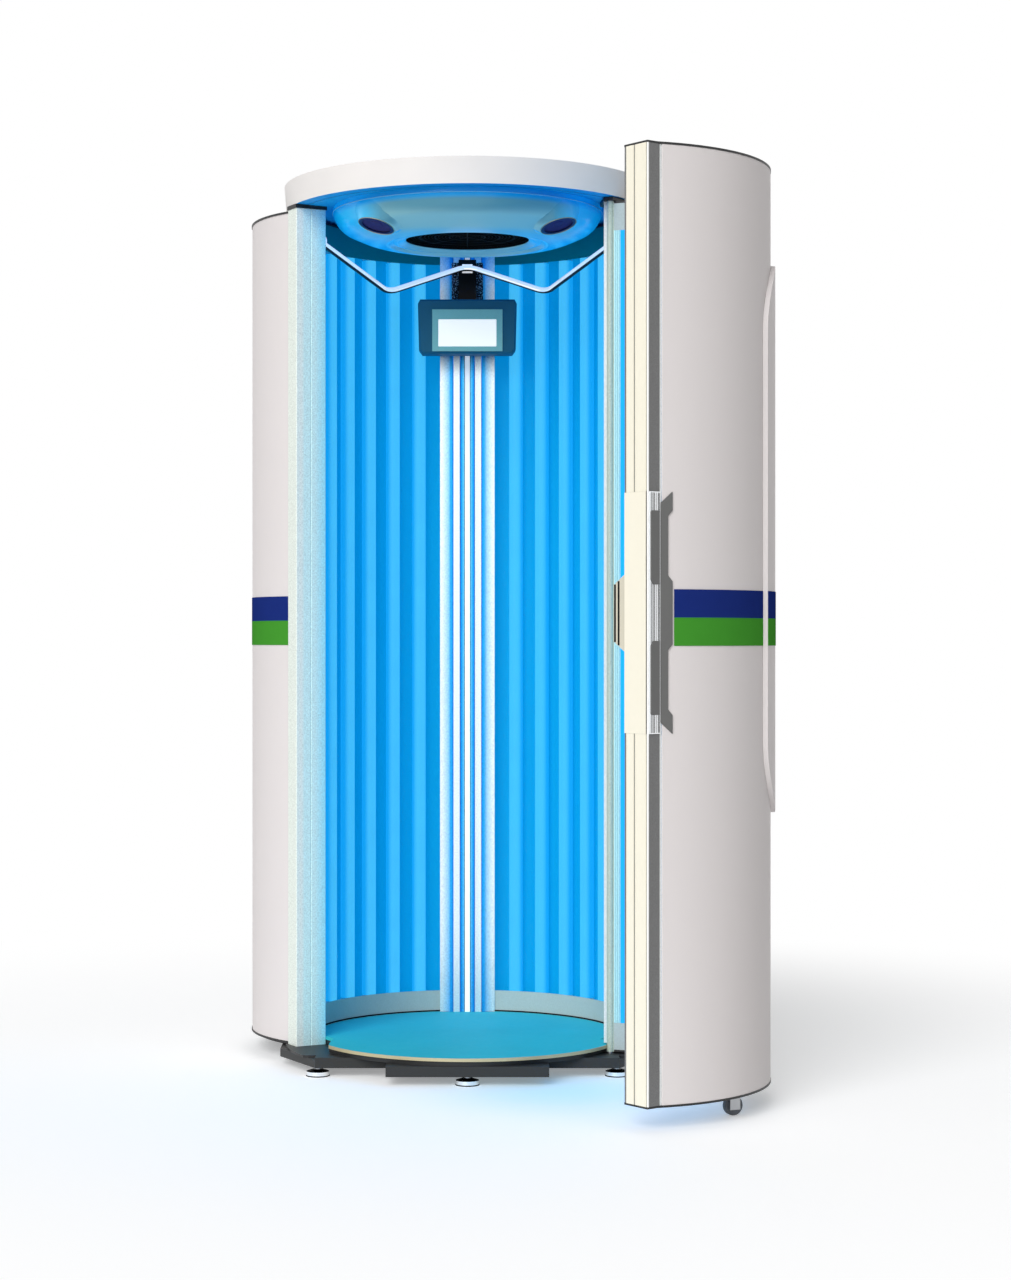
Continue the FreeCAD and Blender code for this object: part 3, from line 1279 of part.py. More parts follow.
def ceiling_dome():
    """Hanging ceiling moulding of even wall, with a ring round the fan throat and two speaker openings."""
    section = doc.addObject("Part::Feature", "dome_section")
    section.Shape = dome_section()
    shell = doc.addObject("Part::Revolution", "dome_shell")
    shell.Source = section
    shell.Axis = FreeCAD.Vector(0, 0, 1)
    shell.Angle = 360
    openings = [speaker_rod(side, "sizes.speaker_radius + " + GAP, "-40", "80") for side in (-1, 1)]
    keep(cut(shell, *openings), "ceiling_dome")


def speaker_place(side):
    """Speaker frame: Z up into the moulding, X towards the rim."""
    x = "%d * fits.speaker_x" % side
    y = "fits.speaker_y"
    z = "%s + sizes.canopy_wall - sizes.speaker_drop" % CAPS_TOP
    yaw = "atan2(fits.speaker_y; %s)" % x
    return ("placement(vector(%s; %s; %s); rotation(vector(0; 0; 1); %s)"
            " * rotation(vector(0; 1; 0); -sizes.speaker_tilt))" % (x, y, z, yaw))


def speaker_rod(side, radius, low, height):
    """A cylinder along a speaker's axis."""
    piece = doc.addObject("Part::Cylinder", "speaker_rod")
    piece.setExpression("Radius", radius)
    piece.setExpression("Height", height)
    shift = speaker_place(side) + " * placement(vector(0; 0; %s); rotation(vector(0; 0; 1); 0))" % low
    piece.setExpression("Placement", shift)
    return piece


def speakers():
    """Two speakers in the ceiling: a rim each, and a cone with its magnet."""
    rims = []
    cones = []
    for side in (-1, 1):
        outer = speaker_rod(side, "sizes.speaker_radius", "-9", "18")
        inner = speaker_rod(side, "sizes.speaker_radius - 6", "-10", "20")
        rims.append(cut(outer, inner))
        cones.append(turned((("0", "-4"), ("12", "-4"), ("16", "-2"), ("sizes.speaker_radius - 12", "-5"),
                             ("sizes.speaker_radius - 6.3", "-5"), ("sizes.speaker_radius - 6.3", "4"),
                             ("22", "16"), ("22", "30"), ("0", "30")), speaker_place(side)))
    keep(group(*rims), "speaker_rims")
    keep(group(*cones), "speaker_cones")


def fan():
    """Ceiling fan: guard in the throat, motor on a bridge over the roof, and the rotor."""
    level = "(%s + sizes.canopy_wall)" % CAPS_TOP
    guard_z = "%s - 76" % level
    rings = []
    for radius in ("sizes.fan_radius - 0.3", "sizes.fan_radius * 0.78", "sizes.fan_radius * 0.54",
                   "sizes.fan_radius * 0.3"):
        rings.append(sector("(%s) - 3" % radius, radius, "0", "360", guard_z, "3"))
    spokes = []
    for index in range(4):
        turn = 45 * index
        half = "(sizes.fan_radius - 1)"
        x = "-%s * cos(%d) + 1.5 * sin(%d)" % (half, turn, turn)
        y = "-%s * sin(%d) - 1.5 * cos(%d)" % (half, turn, turn)
        spokes.append(block(x, y, guard_z, "2 * " + half, "3", "3", str(turn)))
    keep(fuse(*rings, *spokes), "fan_guard")

    bridge_z = "%s + 2" % level
    bridge = block("-sizes.fan_radius - 20", "-18", bridge_z, "2 * sizes.fan_radius + 40", "36", "4")
    can = rod("0", "0", "%s - 16" % level, "sizes.motor_radius", "18")
    shaft = rod("0", "0", "%s - 16 - sizes.hub_height" % level, "4", "sizes.hub_height")
    keep(fuse(bridge, can, shaft), "fan_motor")
    rotor(level)


def rotor(level):
    """Fan rotor: a hub with a bore, and twisted blades lofted from root to tip."""
    body = doc.addObject("PartDesign::Body", "rotor")
    section = sketch_in(body, "XZ_Plane")
    outline(section, (("4.05", "0"), ("sizes.hub_radius", "0"), ("sizes.hub_radius", "sizes.hub_height"),
                      ("4.05", "sizes.hub_height")))
    hub = body.newObject("PartDesign::Revolution", "hub")
    hub.Profile = section
    hub.ReferenceAxis = (section, ["V_Axis"])
    hub.Angle = 360
    doc.recompute()
    sections = []
    for reach, chord, pitch in (("sizes.hub_radius - 3", "34", 38), ("sizes.rotor_radius * 0.66", "44", 28),
                                ("sizes.rotor_radius", "48", 18)):
        blade = sketch_in(body, "YZ_Plane")
        half = chord + " / 2"
        thin = "sizes.blade_thickness / 2"
        outline(blade, (("-" + half, "-" + thin), (half, "-" + thin), (half, thin), ("-" + half, thin)))
        turn = FreeCAD.Rotation(FreeCAD.Vector(0, 0, 1), pitch)
        seat = FreeCAD.Vector(0, value("sizes.hub_height") / 2, value(reach))
        blade.AttachmentOffset = FreeCAD.Placement(seat, turn)
        blade.setExpression(".AttachmentOffset.Base.z", reach)
        blade.setExpression(".AttachmentOffset.Base.y", "sizes.hub_height / 2")
        sections.append(blade)
    doc.recompute()
    loft = body.newObject("PartDesign::AdditiveLoft", "blade")
    loft.Profile = sections[0]
    loft.Sections = sections[1:]
    doc.recompute()
    pattern = body.newObject("PartDesign::PolarPattern", "blades")
    pattern.Originals = [loft]
    pattern.Axis = (section, ["V_Axis"])
    pattern.Angle = 360
    pattern.Occurrences = BLADES
    body.Tip = pattern
    doc.recompute()
    lift = "%s - 17 - sizes.hub_height" % level
    body.setExpression("Placement", place(z=lift))
    doc.recompute()
    keep(body, "fan_rotor")


# ---------------------------------------------------------------- hand bar and control panel
def bar_points():
    """Corner points of the hand bar from the left post to the right post."""
    end_x = value(offset_in_post_frame("4", "-sizes.post_depth / 2")[0])
    end_y = value(offset_in_post_frame("4", "-sizes.post_depth / 2")[1])
    end_z = value("%s - sizes.bar_end_drop" % TOP)
    low_z = value("%s - sizes.bar_low_drop" % TOP)
    half = [
        FreeCAD.Vector(end_x, end_y, end_z),
        FreeCAD.Vector(-value("sizes.bar_low_x"), value("sizes.bar_low_y"), low_z)]
    peak = FreeCAD.Vector(0, value("fits.bar_peak_y"), value("%s - sizes.bar_peak_drop" % TOP))
    other = [FreeCAD.Vector(-point.x, point.y, point.z) for point in reversed(half)]
    return half + [peak] + other


def hand_bar():
    """Bent round bar to hold overhead, with a foot at each post and a saddle on the column."""
    points = bar_points()
    path = Part.Wire(rounded_path(points, [value("sizes.bar_bend_radius")] * 3))
    direction = points[1] - points[0]
    ring = Part.Wire(Part.Circle(points[0], direction, value("sizes.bar_radius")).toShape())
    bar = doc.addObject("Part::Feature", "bar")
    bar.Shape = path.makePipeShell([ring], True, False)
    flush = offset_in_post_frame("-6 - 2 * " + GAP, "-200")
    beyond = block(flush[0], flush[1], "0", "200", "400", "4000", POST_TURN)
    keep(cut(bar, beyond, mirror(beyond)), "hand_bar")
    x, y = offset_in_post_frame("-" + GAP, "-sizes.post_depth / 2")
    facing = ("placement(vector(%s; %s; %s - sizes.bar_end_drop); rotation(vector(0; 0; 1);"
              " 180 + sizes.post_slant) * rotation(vector(0; 1; 0); -90))" % (x, y, TOP))
    foot = turned((("0", "0"), ("19", "0"), ("19", "4"), ("17", "6"), ("0", "6")), facing)
    feet = [foot, mirror(foot)]
    peak = path.BoundBox
    gap = value(GAP)
    saddle_back = value("fits.column_front")
    crest = path.distToShape(Part.Vertex(0, saddle_back, peak.ZMax))[1][0][0]
    bar_back = crest.y + value("sizes.bar_radius") + gap
    saddle_low = crest.z - value("sizes.saddle_height") / 2
    saddle = block("-sizes.saddle_width / 2", "%.4f" % bar_back, "%.4f" % saddle_low, "sizes.saddle_width",
                   "%.4f" % (saddle_back - bar_back), "sizes.saddle_height")
    keep(group(*feet, saddle), "hand_bar_mounts")


def control_panel():
    """Column at the back centre with the panel housing, its bezel and its screen."""
    width = "sizes.column_half_width"
    front = "fits.column_front"
    depth = "sizes.column_depth"
    panel_bottom = "(%s - sizes.panel_drop)" % TOP
    low = panel_bottom + " + 20"
    column = block("-" + width, front, low, "2 * " + width, depth,
                   "sizes.panel_drop - 20 - sizes.column_drop")
    keep(column, "panel_column")

    half = "sizes.panel_half_width"
    corner = "sizes.panel_corner"
    tall = "sizes.panel_height"
    body = doc.addObject("PartDesign::Body", "housing")
    section = sketch_in(body, "XZ_Plane")
    outline(section, (
        ("-%s + %s" % (half, corner), "0"), ("%s - %s" % (half, corner), "0"), ("%s - 3" % half, corner),
        (half, "%s - %s" % (tall, corner)), ("%s - 6" % half, tall), ("6 - %s" % half, tall),
        ("-" + half, "%s - %s" % (tall, corner)), ("3 - %s" % half, corner)))
    pad = body.newObject("PartDesign::Pad", "pad")
    pad.Profile = section
    pad.setExpression("Length", "sizes.panel_depth")
    doc.recompute()
    front_edges = []
    for number, edge in enumerate(pad.Shape.Edges, start=1):
        if edge.BoundBox.YMax < -value("sizes.panel_depth") + 0.01:
            front_edges.append("Edge%d" % number)
    bevel = body.newObject("PartDesign::Chamfer", "bevel")
    bevel.Base = (pad, front_edges)
    bevel.setExpression("Size", "sizes.panel_bevel")
    body.setExpression("Placement", place("0", "%s - %s" % (front, GAP), panel_bottom))
    doc.recompute()
    keep(body, "panel_housing")

    face = "%s - %s - sizes.panel_depth - %s" % (front, GAP, GAP)
    bezel_width = "sizes.bezel_half_width"
    thick = "sizes.bezel_thickness"
    bezel_z = panel_bottom + " + 6"
    bezel = block("-" + bezel_width, "%s - %s" % (face, thick), bezel_z, "2 * " + bezel_width, thick,
                  "sizes.bezel_height")
    screen_width = "sizes.screen_half_width"
    screen_z = "%s + sizes.screen_rise - 6" % bezel_z
    window = block("-%s - %s" % (screen_width, GAP), "%s - %s - 1" % (face, thick),
                   "%s - %s" % (screen_z, GAP), "2 * (%s + %s)" % (screen_width, GAP), "%s + 2" % thick,
                   "sizes.screen_height + 2 * %s" % GAP)
    keep(cut(bezel, window), "panel_bezel")
    screen = block("-" + screen_width, "%s - %s + 1" % (face, thick), screen_z, "2 * " + screen_width,
                   thick + " - 1", "sizes.screen_height")
    keep(screen, "panel_screen")


# ---------------------------------------------------------------- build
base_frame()
base_plate()
floor_pieces()
levelling_feet()
cabinets()
hinge_column()
hinge_brackets()
hinge_pins()
leading_profile()
hinge_profile()
door_panels()
door_lamps()
door_front_panel()
door_furniture()
door_roller()
canopy()
ceiling_dome()
speakers()
fan()
hand_bar()
control_panel()
doc.recompute()

for item in doc.Objects:
    if "Invalid" in item.State or "Error" in item.State:
        raise RuntimeError("%s (%s) failed: %s" % (item.Name, item.Label, item.State))
for piece in nodes:
    if piece.Shape.isNull() or not piece.Shape.isValid() or not piece.Shape.Solids:
        raise RuntimeError("bad shape in %s" % piece.Label)

os.makedirs("parts", exist_ok=True)
for piece in nodes:
    piece.Shape.exportStep("parts/%s.step" % piece.Label)
print(len(nodes), "nodes")
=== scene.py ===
"""Vertical tanning booth: finishes of every node, small fittings and the stage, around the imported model.

The model's own frame is in metres: origin on the floor under the standing disc, +Z up, -Y to the front.
Outlines, profiles and grains are given in millimetres. Each operator dresses one group of pieces, and main()
calls them in order.
"""
import math
from functools import cache
from typing import NamedTuple

import bmesh
import bpy
from bpy.props import FloatProperty, FloatVectorProperty, PointerProperty
from mathutils import Matrix, Vector


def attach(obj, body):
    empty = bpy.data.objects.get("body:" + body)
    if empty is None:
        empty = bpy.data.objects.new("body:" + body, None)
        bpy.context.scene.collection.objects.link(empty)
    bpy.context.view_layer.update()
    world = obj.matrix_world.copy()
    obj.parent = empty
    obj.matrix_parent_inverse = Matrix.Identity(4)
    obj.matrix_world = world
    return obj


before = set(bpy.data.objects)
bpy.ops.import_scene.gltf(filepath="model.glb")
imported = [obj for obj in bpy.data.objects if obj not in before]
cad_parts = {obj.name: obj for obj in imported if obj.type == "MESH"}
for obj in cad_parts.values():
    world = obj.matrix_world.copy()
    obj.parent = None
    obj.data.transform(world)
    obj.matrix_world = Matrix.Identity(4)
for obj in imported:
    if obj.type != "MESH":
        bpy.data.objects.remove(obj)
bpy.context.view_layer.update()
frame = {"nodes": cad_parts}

bl_info = {
    "name": "Vertical tanning booth",
    "version": (1, 0, 0),
    "blender": (4, 5, 0),
    "location": "3D View > Sidebar > Booth",
    "description": "Finishes, small fittings and stage of a stand-up tanning booth",
    "category": "Object",
}

MM = 0.001
FACTOR, FIRST, SECOND = 0, 6, 7      # sockets of a colour Mix node
SMOOTH = {"interpolation_type": "SMOOTHSTEP"}


def linear(hex_colour, alpha=1.0):
    """An sRGB hex colour as linear RGBA."""
    channels = [int(hex_colour[i:i + 2], 16) / 255 for i in (1, 3, 5)]
    return tuple(c / 12.92 if c <= 0.04045 else ((c + 0.055) / 1.055) ** 2.4 for c in channels) + (alpha,)


def colour_of(name, description, hex_colour):
    """A colour setting; Blender keeps it linear and shows it as sRGB."""
    return FloatVectorProperty(name=name, description=description, subtype="COLOR", size=4, min=0, max=1,
                               default=linear(hex_colour))


class BoothColours(bpy.types.PropertyGroup):
    """Colours a buyer may choose."""
    casing: colour_of("Casing", "Powder coat of the shells and the raised door panel", "#E3DDDC")
    canopy: colour_of("Canopy", "Powder coat of the canopy band", "#F0ECE9")
    upper_stripe: colour_of("Upper stripe", "Film of the upper band around the shells", "#1E3078")
    lower_stripe: colour_of("Lower stripe", "Film of the lower band around the shells", "#459632")
    extrusion: colour_of("Extrusions", "Anodised posts and hinge parts", "#E2EBEA")
    leading_edge: colour_of("Leading edge", "Structured paint of the door's leading profile", "#727272")
    trim: colour_of("Trim", "Seal strips, face plate and disc edge", "#FBF5E2")
    disc: colour_of("Standing disc", "Satin acrylic of the standing disc", "#3ABFC9")
    frame: colour_of("Frame", "Powder coat of the welded frame", "#2D2E2E")
    handle: colour_of("Handle", "Moulded pads and bracket of the door handle", "#646463")
    glow: colour_of("Lamp glow", "Light of the tubes", "#48C6FE")
    # The reflectors' colour of painted glow, standing in for the tubes' light they throw back.
    wash: colour_of("Reflector wash", "Light that the reflectors throw back", "#0098E4")
    # The ceiling's colour: the pale moulding with the tubes' blue light painted in.
    dome: colour_of("Ceiling", "Gloss moulding of the ceiling", "#A4DDE1")


class BoothSizes(bpy.types.PropertyGroup):
    """Sizes of the small fittings."""
    screw_radius: FloatProperty(name="Screw head radius", description="Pan heads that hold covers and plates",
                                default=4 * MM, min=1 * MM, max=10 * MM, unit="LENGTH")
    screw_height: FloatProperty(name="Screw head height", description="How far a pan head stands proud",
                                default=2.2 * MM, min=0.5 * MM, max=5 * MM, unit="LENGTH")


class BoothStage(bpy.types.PropertyGroup):
    """Light and camera."""
    lamp_strength: FloatProperty(name="Studio lamp", description="Strength of the soft studio lamp",
                                 default=2.32, min=0, max=10)
    sky_strength: FloatProperty(name="Room light", description="Strength of the even light of the room",
                                default=0.3, min=0, max=2)
    tube_strength: FloatProperty(name="Tubes", description="Strength of the tubes' own light",
                                 default=1.0, min=0, max=10)
    camera_distance: FloatProperty(name="Camera distance", description="From the booth's axis to the camera",
                                   default=6.6, min=1, max=20, unit="LENGTH")
    camera_height: FloatProperty(name="Camera height", description="Above the floor",
                                 default=1.09, min=0, max=5, unit="LENGTH")


def add(tree, kind, settings=None, links=None, **attributes):
    """Adds one shader node with its settings, incoming links and attributes. A Mix node mixes colours."""
    node = tree.nodes.new("ShaderNode" + kind)
    if kind == "Mix":
        node.data_type = "RGBA"
    for name, value in attributes.items():
        setattr(node, name, value)
    for socket, value in (settings or {}).items():
        node.inputs[socket].default_value = value
    feed(node, links or {})
    return node


def feed(node, links):
    """Links outputs to a node's sockets; a node stands for its main output."""
    for socket, source in links.items():
        if isinstance(source, bpy.types.Node):
            source = next(output for output in source.outputs if output.enabled)
        node.id_data.links.new(source, node.inputs[socket])


def new_finish(name, colour, roughness, metallic=0.0, specular=0.5, **settings):
    """A material of one Principled shader, with its tree, that shader and the place on the piece in metres."""
    material = bpy.data.materials.new(name)
    material.use_nodes = True
    tree = material.node_tree
    tree.nodes.clear()
    shader = add(tree, "BsdfPrincipled", {"Base Color": colour, "Roughness": roughness, "Metallic": metallic,
                                          "Specular IOR Level": specular, **settings})
    add(tree, "OutputMaterial", links={"Surface": shader})
    place = add(tree, "TexCoord").outputs["Object"]
    return material, tree, shader, place


def shade(colour, amount):
    """A colour made lighter or darker by a share of itself."""
    return tuple(min(1.0, c * (1 + amount)) for c in colour[:3]) + (1.0,)


def colours():
    """The colours that the user chose."""
    return bpy.context.scene.booth_colours


def chosen(colour):
    """A colour given as hex, or by the name of a setting."""
    return linear(colour) if colour.startswith("#") else getattr(colours(), colour)


# ---- finishes --------------------------------------------------------------------------------------------

def grained(name, colour, roughness, grain, contrast, relief, metallic=0.0, **settings):
    """A finish whose surface is an even grain of one size, which its colour and its relief both follow."""
    material, tree, shader, place = new_finish(name, colour, roughness, metallic, **settings)
    noise = add(tree, "TexNoise", {"Scale": 1 / (grain * MM), "Detail": 2.0, "Roughness": 0.55},
                {"Vector": place})
    tone = add(tree, "Mix", {FIRST: shade(colour, -contrast), SECOND: shade(colour, contrast)},
               {FACTOR: noise})
    bump = add(tree, "Bump", {"Strength": 1.0, "Distance": relief * MM}, {"Height": noise})
    feed(shader, {"Base Color": tone, "Normal": bump.outputs["Normal"]})
    return material, tree, shader, place


class Plain(NamedTuple):
    """An even finish: colours are hex or name a setting, grain and relief are in millimetres."""
    colour: str
    roughness: float
    grain: float
    contrast: float
    relief: float
    specular: float = 0.5
    metallic: float = 0.0
    glow: str = ""
    glow_strength: float = 0.0


PLAIN_FINISHES = {
    # Sheet steel, sprayed with polyester powder and stoved: satin, with a faint orange peel of about 2 mm.
    "powder_coated_sheet": Plain("casing", 0.5, 2.2, 0.012, 0.02, 0.2),
    # Steel plate under fine-texture black powder: dull, with a sandy grain of about 1.5 mm.
    "black_powder_coat": Plain("#161617", 0.5, 1.5, 0.25, 0.05),
    # Welded box section under grey powder: satin, the weld spatter ground off before coating.
    "grey_powder_coat": Plain("frame", 0.5, 2.5, 0.08, 0.04, 0.3),
    # Cast vinyl film in blue: smooth, satin and even, with the slight tone shift of a wide roll.
    "cast_film_upper": Plain("upper_stripe", 0.6, 30, 0.05, 0.01, 0.0),
    # Cast vinyl film in green, laid edge to edge with the blue one.
    "cast_film_lower": Plain("lower_stripe", 0.6, 30, 0.05, 0.01, 0.0),
    # Extruded aluminium, blasted and anodised: pale silver with a sparkling grain, drawn at 3 mm to show.
    "anodised_aluminium": Plain("extrusion", 0.45, 3, 0.3, 0.05, 0.25, 0.15),
    # The same in a warm grey tint, on the door's hinge profile.
    "stone_anodised_aluminium": Plain("#BDC9B9", 0.5, 3, 0.35, 0.05, 0.15, 0.1),
    # The same in a pale blue tint, on the ribbed strip that holds the door's lamp cover.
    "sky_anodised_aluminium": Plain("#B9E6F2", 0.5, 3, 0.3, 0.05, 0.15, 0.1),
    # Extruded opal acrylic over the joint of the rear posts: even white, with a painted glow standing in for
    # the light of the tubes beside it.
    "opal_acrylic": Plain("#FFFFFF", 0.4, 10, 0.01, 0.01, glow="#FFFFFF", glow_strength=0.3),
    # Black anodised column: glossy, with fine drawing lines of 2 mm.
    "gloss_black": Plain("#030A0E", 0.2, 2, 0.2, 0.01, 0.12),
    # Aluminium under dark structure paint: light specks on grey, drawn at 2.5 mm.
    "structured_dark_paint": Plain("leading_edge", 0.5, 2.5, 0.35, 0.08),
    # Extruded EPDM rubber: matt cream with a very fine bloom.
    "cream_rubber": Plain("trim", 0.6, 4, 0.02, 0.03),
    # Lacquered plate in cream: smooth and even.
    "cream_lacquer": Plain("trim", 0.38, 12, 0.01, 0.005),
    # Zinc-plated turned steel: grey with fine tool marks around the axis.
    "turned_steel": Plain("#A9ABAE", 0.32, 1, 0.1, 0.01, metallic=1.0),
    # Bright-rolled aluminium behind the tubes: finely lined, with a painted blue glow, deeper than the tubes',
    # standing in for their light thrown back.
    "bright_reflector": Plain("#07809C", 0.5, 6, 0.05, 0.01, 0.05, glow="wash", glow_strength=0.6),
    # Steel wire and blades, dipped in black: dull, all but without reflections.
    "dipped_black": Plain("#030608", 0.6, 1.5, 0.3, 0.03, 0.08),
    # Woven speaker cloth in navy: the weave drawn at 2 mm.
    "navy_speaker_cloth": Plain("#27286B", 0.85, 2, 0.3, 0.1),
    # Spun speaker rims in navy lacquer: smooth satin.
    "navy_lacquer": Plain("#23255F", 0.35, 3, 0.06, 0.01, 0.2),
    # Spun aluminium, gold anodised: soft metallic.
    "pale_gold_ring": Plain("#B9AF8A", 0.35, 2, 0.06, 0.01, metallic=0.8),
    # Moulded ABS in black: dull, finely eroded surface.
    "moulded_black": Plain("#0E0F10", 0.45, 1.2, 0.3, 0.04),
    # Moulded polycarbonate of the lampholders: white, satin.
    "moulded_white": Plain("#E8EAEA", 0.4, 1.2, 0.03, 0.02),
    # Moulded glass-filled nylon in dark grey: dull with a fine leather-like erosion; also the thin strips of
    # painted shade in the handle's grooves.
    "moulded_handle": Plain("handle", 0.5, 1.8, 0.06, 0.05),
    # Moulded nylon of the inner grip in beige: satin.
    "beige_grip": Plain("#DAD3C0", 0.45, 1.8, 0.05, 0.04),
    # Moulded ABS in dark teal: semi-matt, finely eroded.
    "teal_housing": Plain("#22627A", 0.55, 1.5, 0.06, 0.03, 0.12),
    # Pressed frame of the screen in pale teal: satin, with a brushed grain of 2 mm.
    "pale_bezel": Plain("#86C4BE", 0.4, 2, 0.12, 0.01, 0.2),
    # Lit screen behind glass: plain white and glossy.
    "bare_screen": Plain("#F7F6F4", 0.12, 60, 0.01, 0.001, glow="#FFFCF8", glow_strength=0.45),
    # Curved sheet beyond the ends of the lamp covers, grey-teal structure paint: speckled, drawn at 3 mm.
    "band_coat": Plain("#B6C2C0", 0.5, 3, 0.14, 0.03, 0.1),
    # Sheet between the canopy lip and the ceiling moulding: saturated blue, satin, a painted stand-in for the
    # tubes' light on the canopy's underside.
    "blue_lining": Plain("#1AB0F0", 0.4, 8, 0.05, 0.02, 0.15),
    # Needled polyester fleece of the dust filter: black, fibres drawn at 1.5 mm; its black also stands in for
    # the shade inside the fan's duct.
    "black_fleece": Plain("#050607", 0.95, 1.5, 0.4, 0.4, 0.05),
    # Extruded EPDM in black: matt; the same black also serves as painted shade in gaps, grooves and the fan's
    # throat.
    "black_gasket": Plain("#0B0C0D", 0.7, 3, 0.15, 0.03, 0.1),
    # Matt stone grey: painted shade in the gap along the leading profile, above and below the face plate.
    "stone_gasket": Plain("#A5A496", 0.7, 3, 0.1, 0.03, 0.1),
    # Pure white bead, satin and even, with a faint painted glow: a painted highlight on the leading profile's
    # corner.
    "white_bead": Plain("#FDFDFC", 0.4, 10, 0.01, 0.01, glow="#FFFFFF", glow_strength=0.12),
    # Pale blue satin ring along the ceiling's edge: a painted highlight on the moulding's rim.
    "sky_trim": Plain("#6CC8F6", 0.3, 10, 0.03, 0.01, 0.3),
    # Anodised edge trim of the standing disc, champagne: soft metallic.
    "champagne_edge": Plain("#C2B691", 0.45, 3, 0.08, 0.02, metallic=0.3),
    # Cast polyurethane tyre: grey, dull, dusty from the floor.
    "grey_tyre": Plain("#5B6066", 0.6, 3, 0.1, 0.05),
}


@cache
def finish(name):
    """One of the plain finishes by its name; a material stays as it is."""
    if name not in PLAIN_FINISHES:
        return name
    plain = PLAIN_FINISHES[name]
    light = {}
    if plain.glow:
        light = {"Emission Color": chosen(plain.glow), "Emission Strength": plain.glow_strength}
    return grained(name, chosen(plain.colour), plain.roughness, plain.grain, plain.contrast, plain.relief,
                   plain.metallic, specular=plain.specular, **light)[0]


def add_bands(tree, shader, place, across, low, high, stops, darkest, brightest):
    """Colours a finish in upright bands, from stops of millimetres and hex, with a sparkle drawn at 3 mm."""
    share = add(tree, "MapRange", {"From Min": low * MM, "From Max": high * MM}, {"Value": across})
    bands = add(tree, "ValToRGB", links={0: share})
    ramp = bands.color_ramp
    ramp.elements.remove(ramp.elements[1])
    for spot, hex_colour in stops:
        ramp.elements.new((spot - low) / (high - low)).color = linear(hex_colour)
    ramp.elements.remove(ramp.elements[0])
    speckle = add(tree, "TexNoise", {"Scale": 1 / (3 * MM), "Detail": 2.0}, {"Vector": place})
    grain = add(tree, "MapRange", {"From Min": 0.3, "From Max": 0.7, "To Min": darkest, "To Max": brightest},
                {"Value": speckle})
    tone = add(tree, "VectorMath", links={0: bands, 1: grain}, operation="MULTIPLY")
    feed(shader, {"Base Color": tone})


@cache
def front_post_aluminium():
    """Anodised aluminium of the front posts, with the tubes' blue light painted on towards the inner edge."""
    material, tree, shader, place = grained("front_post_aluminium", colours().extrusion, 0.5, 3,
                                            0.3, 0.05, 0.1, specular=0.2)
    across = add(tree, "SeparateXYZ", links={0: place})
    stops = ((-432, "#F2FAF2"), (-424, "#F2FAF2"), (-418, "#DCFAF8"), (-392, "#DCFAF8"), (-370, "#ACF0FF"),
             (363, "#BEC8BC"), (372, "#BEC8BC"), (376, "#B5EBF3"), (404, "#C8EFF3"))
    add_bands(tree, shader, place, across.outputs["X"], -450, 450, stops, 0.78, 1.06)
    return material


@cache
def rear_post_aluminium():
    """Bright-dipped aluminium of the rear posts: white ribs with the tubes' blue reflection painted in the
    grooves, and a fine sparkle.
    """
    material, tree, shader, place = new_finish("rear_post_aluminium", linear("#EAF5FA"), 0.32, 0.8)
    across = add(tree, "SeparateXYZ", links={0: place})
    reach = add(tree, "Math", links={0: across.outputs["X"]}, operation="ABSOLUTE")
    stops = ((8, "#66CCFF"), (12.5, "#4CBEFC"), (15, "#0FA0F0"), (19, "#18A4F0"), (22, "#EEFAFF"),
             (37, "#F6FEFF"), (40, "#1FA8F0"), (47, "#2CB0F4"), (50.5, "#8CD4FF"), (60, "#C8ECFF"),
             (68, "#EEFBFF"), (76, "#F4FFFF"))
    add_bands(tree, shader, place, reach, 0, 80, stops, 0.8, 1.08)
    return material


@cache
def powder_coated_canopy():
    """Powder coat on rolled aluminium: warm white with slow waves of tone, its underside painted with the
    tubes' blue light.
    """
    material, tree, shader, place = new_finish("powder_coated_canopy", colours().canopy, 0.45, specular=0.25)
    waves = add(tree, "TexNoise", {"Scale": 1 / (120 * MM), "Detail": 1.0}, {"Vector": place})
    tone = add(tree, "Mix", {FIRST: shade(colours().canopy, -0.05), SECOND: shade(colours().canopy, 0.03)},
               {FACTOR: waves})
    facing = add(tree, "SeparateXYZ", links={0: add(tree, "TexCoord").outputs["Normal"]})
    height = add(tree, "SeparateXYZ", links={0: place})
    down = add(tree, "Math", {1: -0.7}, {0: facing.outputs["Z"]}, operation="LESS_THAN")
    low = add(tree, "Math", {1: CANOPY_LIP_TOP * MM}, {0: height.outputs["Z"]}, operation="LESS_THAN")
    under = add(tree, "Math", links={0: down, 1: low}, operation="MULTIPLY")
    # Painted light: faces turned down below the lip take the tubes' blue.
    lined = add(tree, "Mix", {SECOND: linear("#18A8EE")}, {FACTOR: under, FIRST: tone})
    feed(shader, {"Base Color": lined})
    return material


@cache
def speckled_black():
    """Black structure paint with bright specks on the ribs beside the column: the black is painted shade over
    the rear posts' tops and the specks are painted highlights, drawn at 3 mm.
    """
    material, tree, shader, place = new_finish("speckled_black", linear("#05090C"), 0.5, specular=0.15)
    specks = add(tree, "TexNoise", {"Scale": 1 / (3 * MM), "Detail": 2.0}, {"Vector": place})
    share = add(tree, "MapRange", {"From Min": 0.5, "From Max": 0.66}, {"Value": specks}, **SMOOTH)
    tone = add(tree, "Mix", {FIRST: linear("#05090C"), SECOND: linear("#B9D6E6")}, {FACTOR: share})
    feed(shader, {"Base Color": tone})
    return material


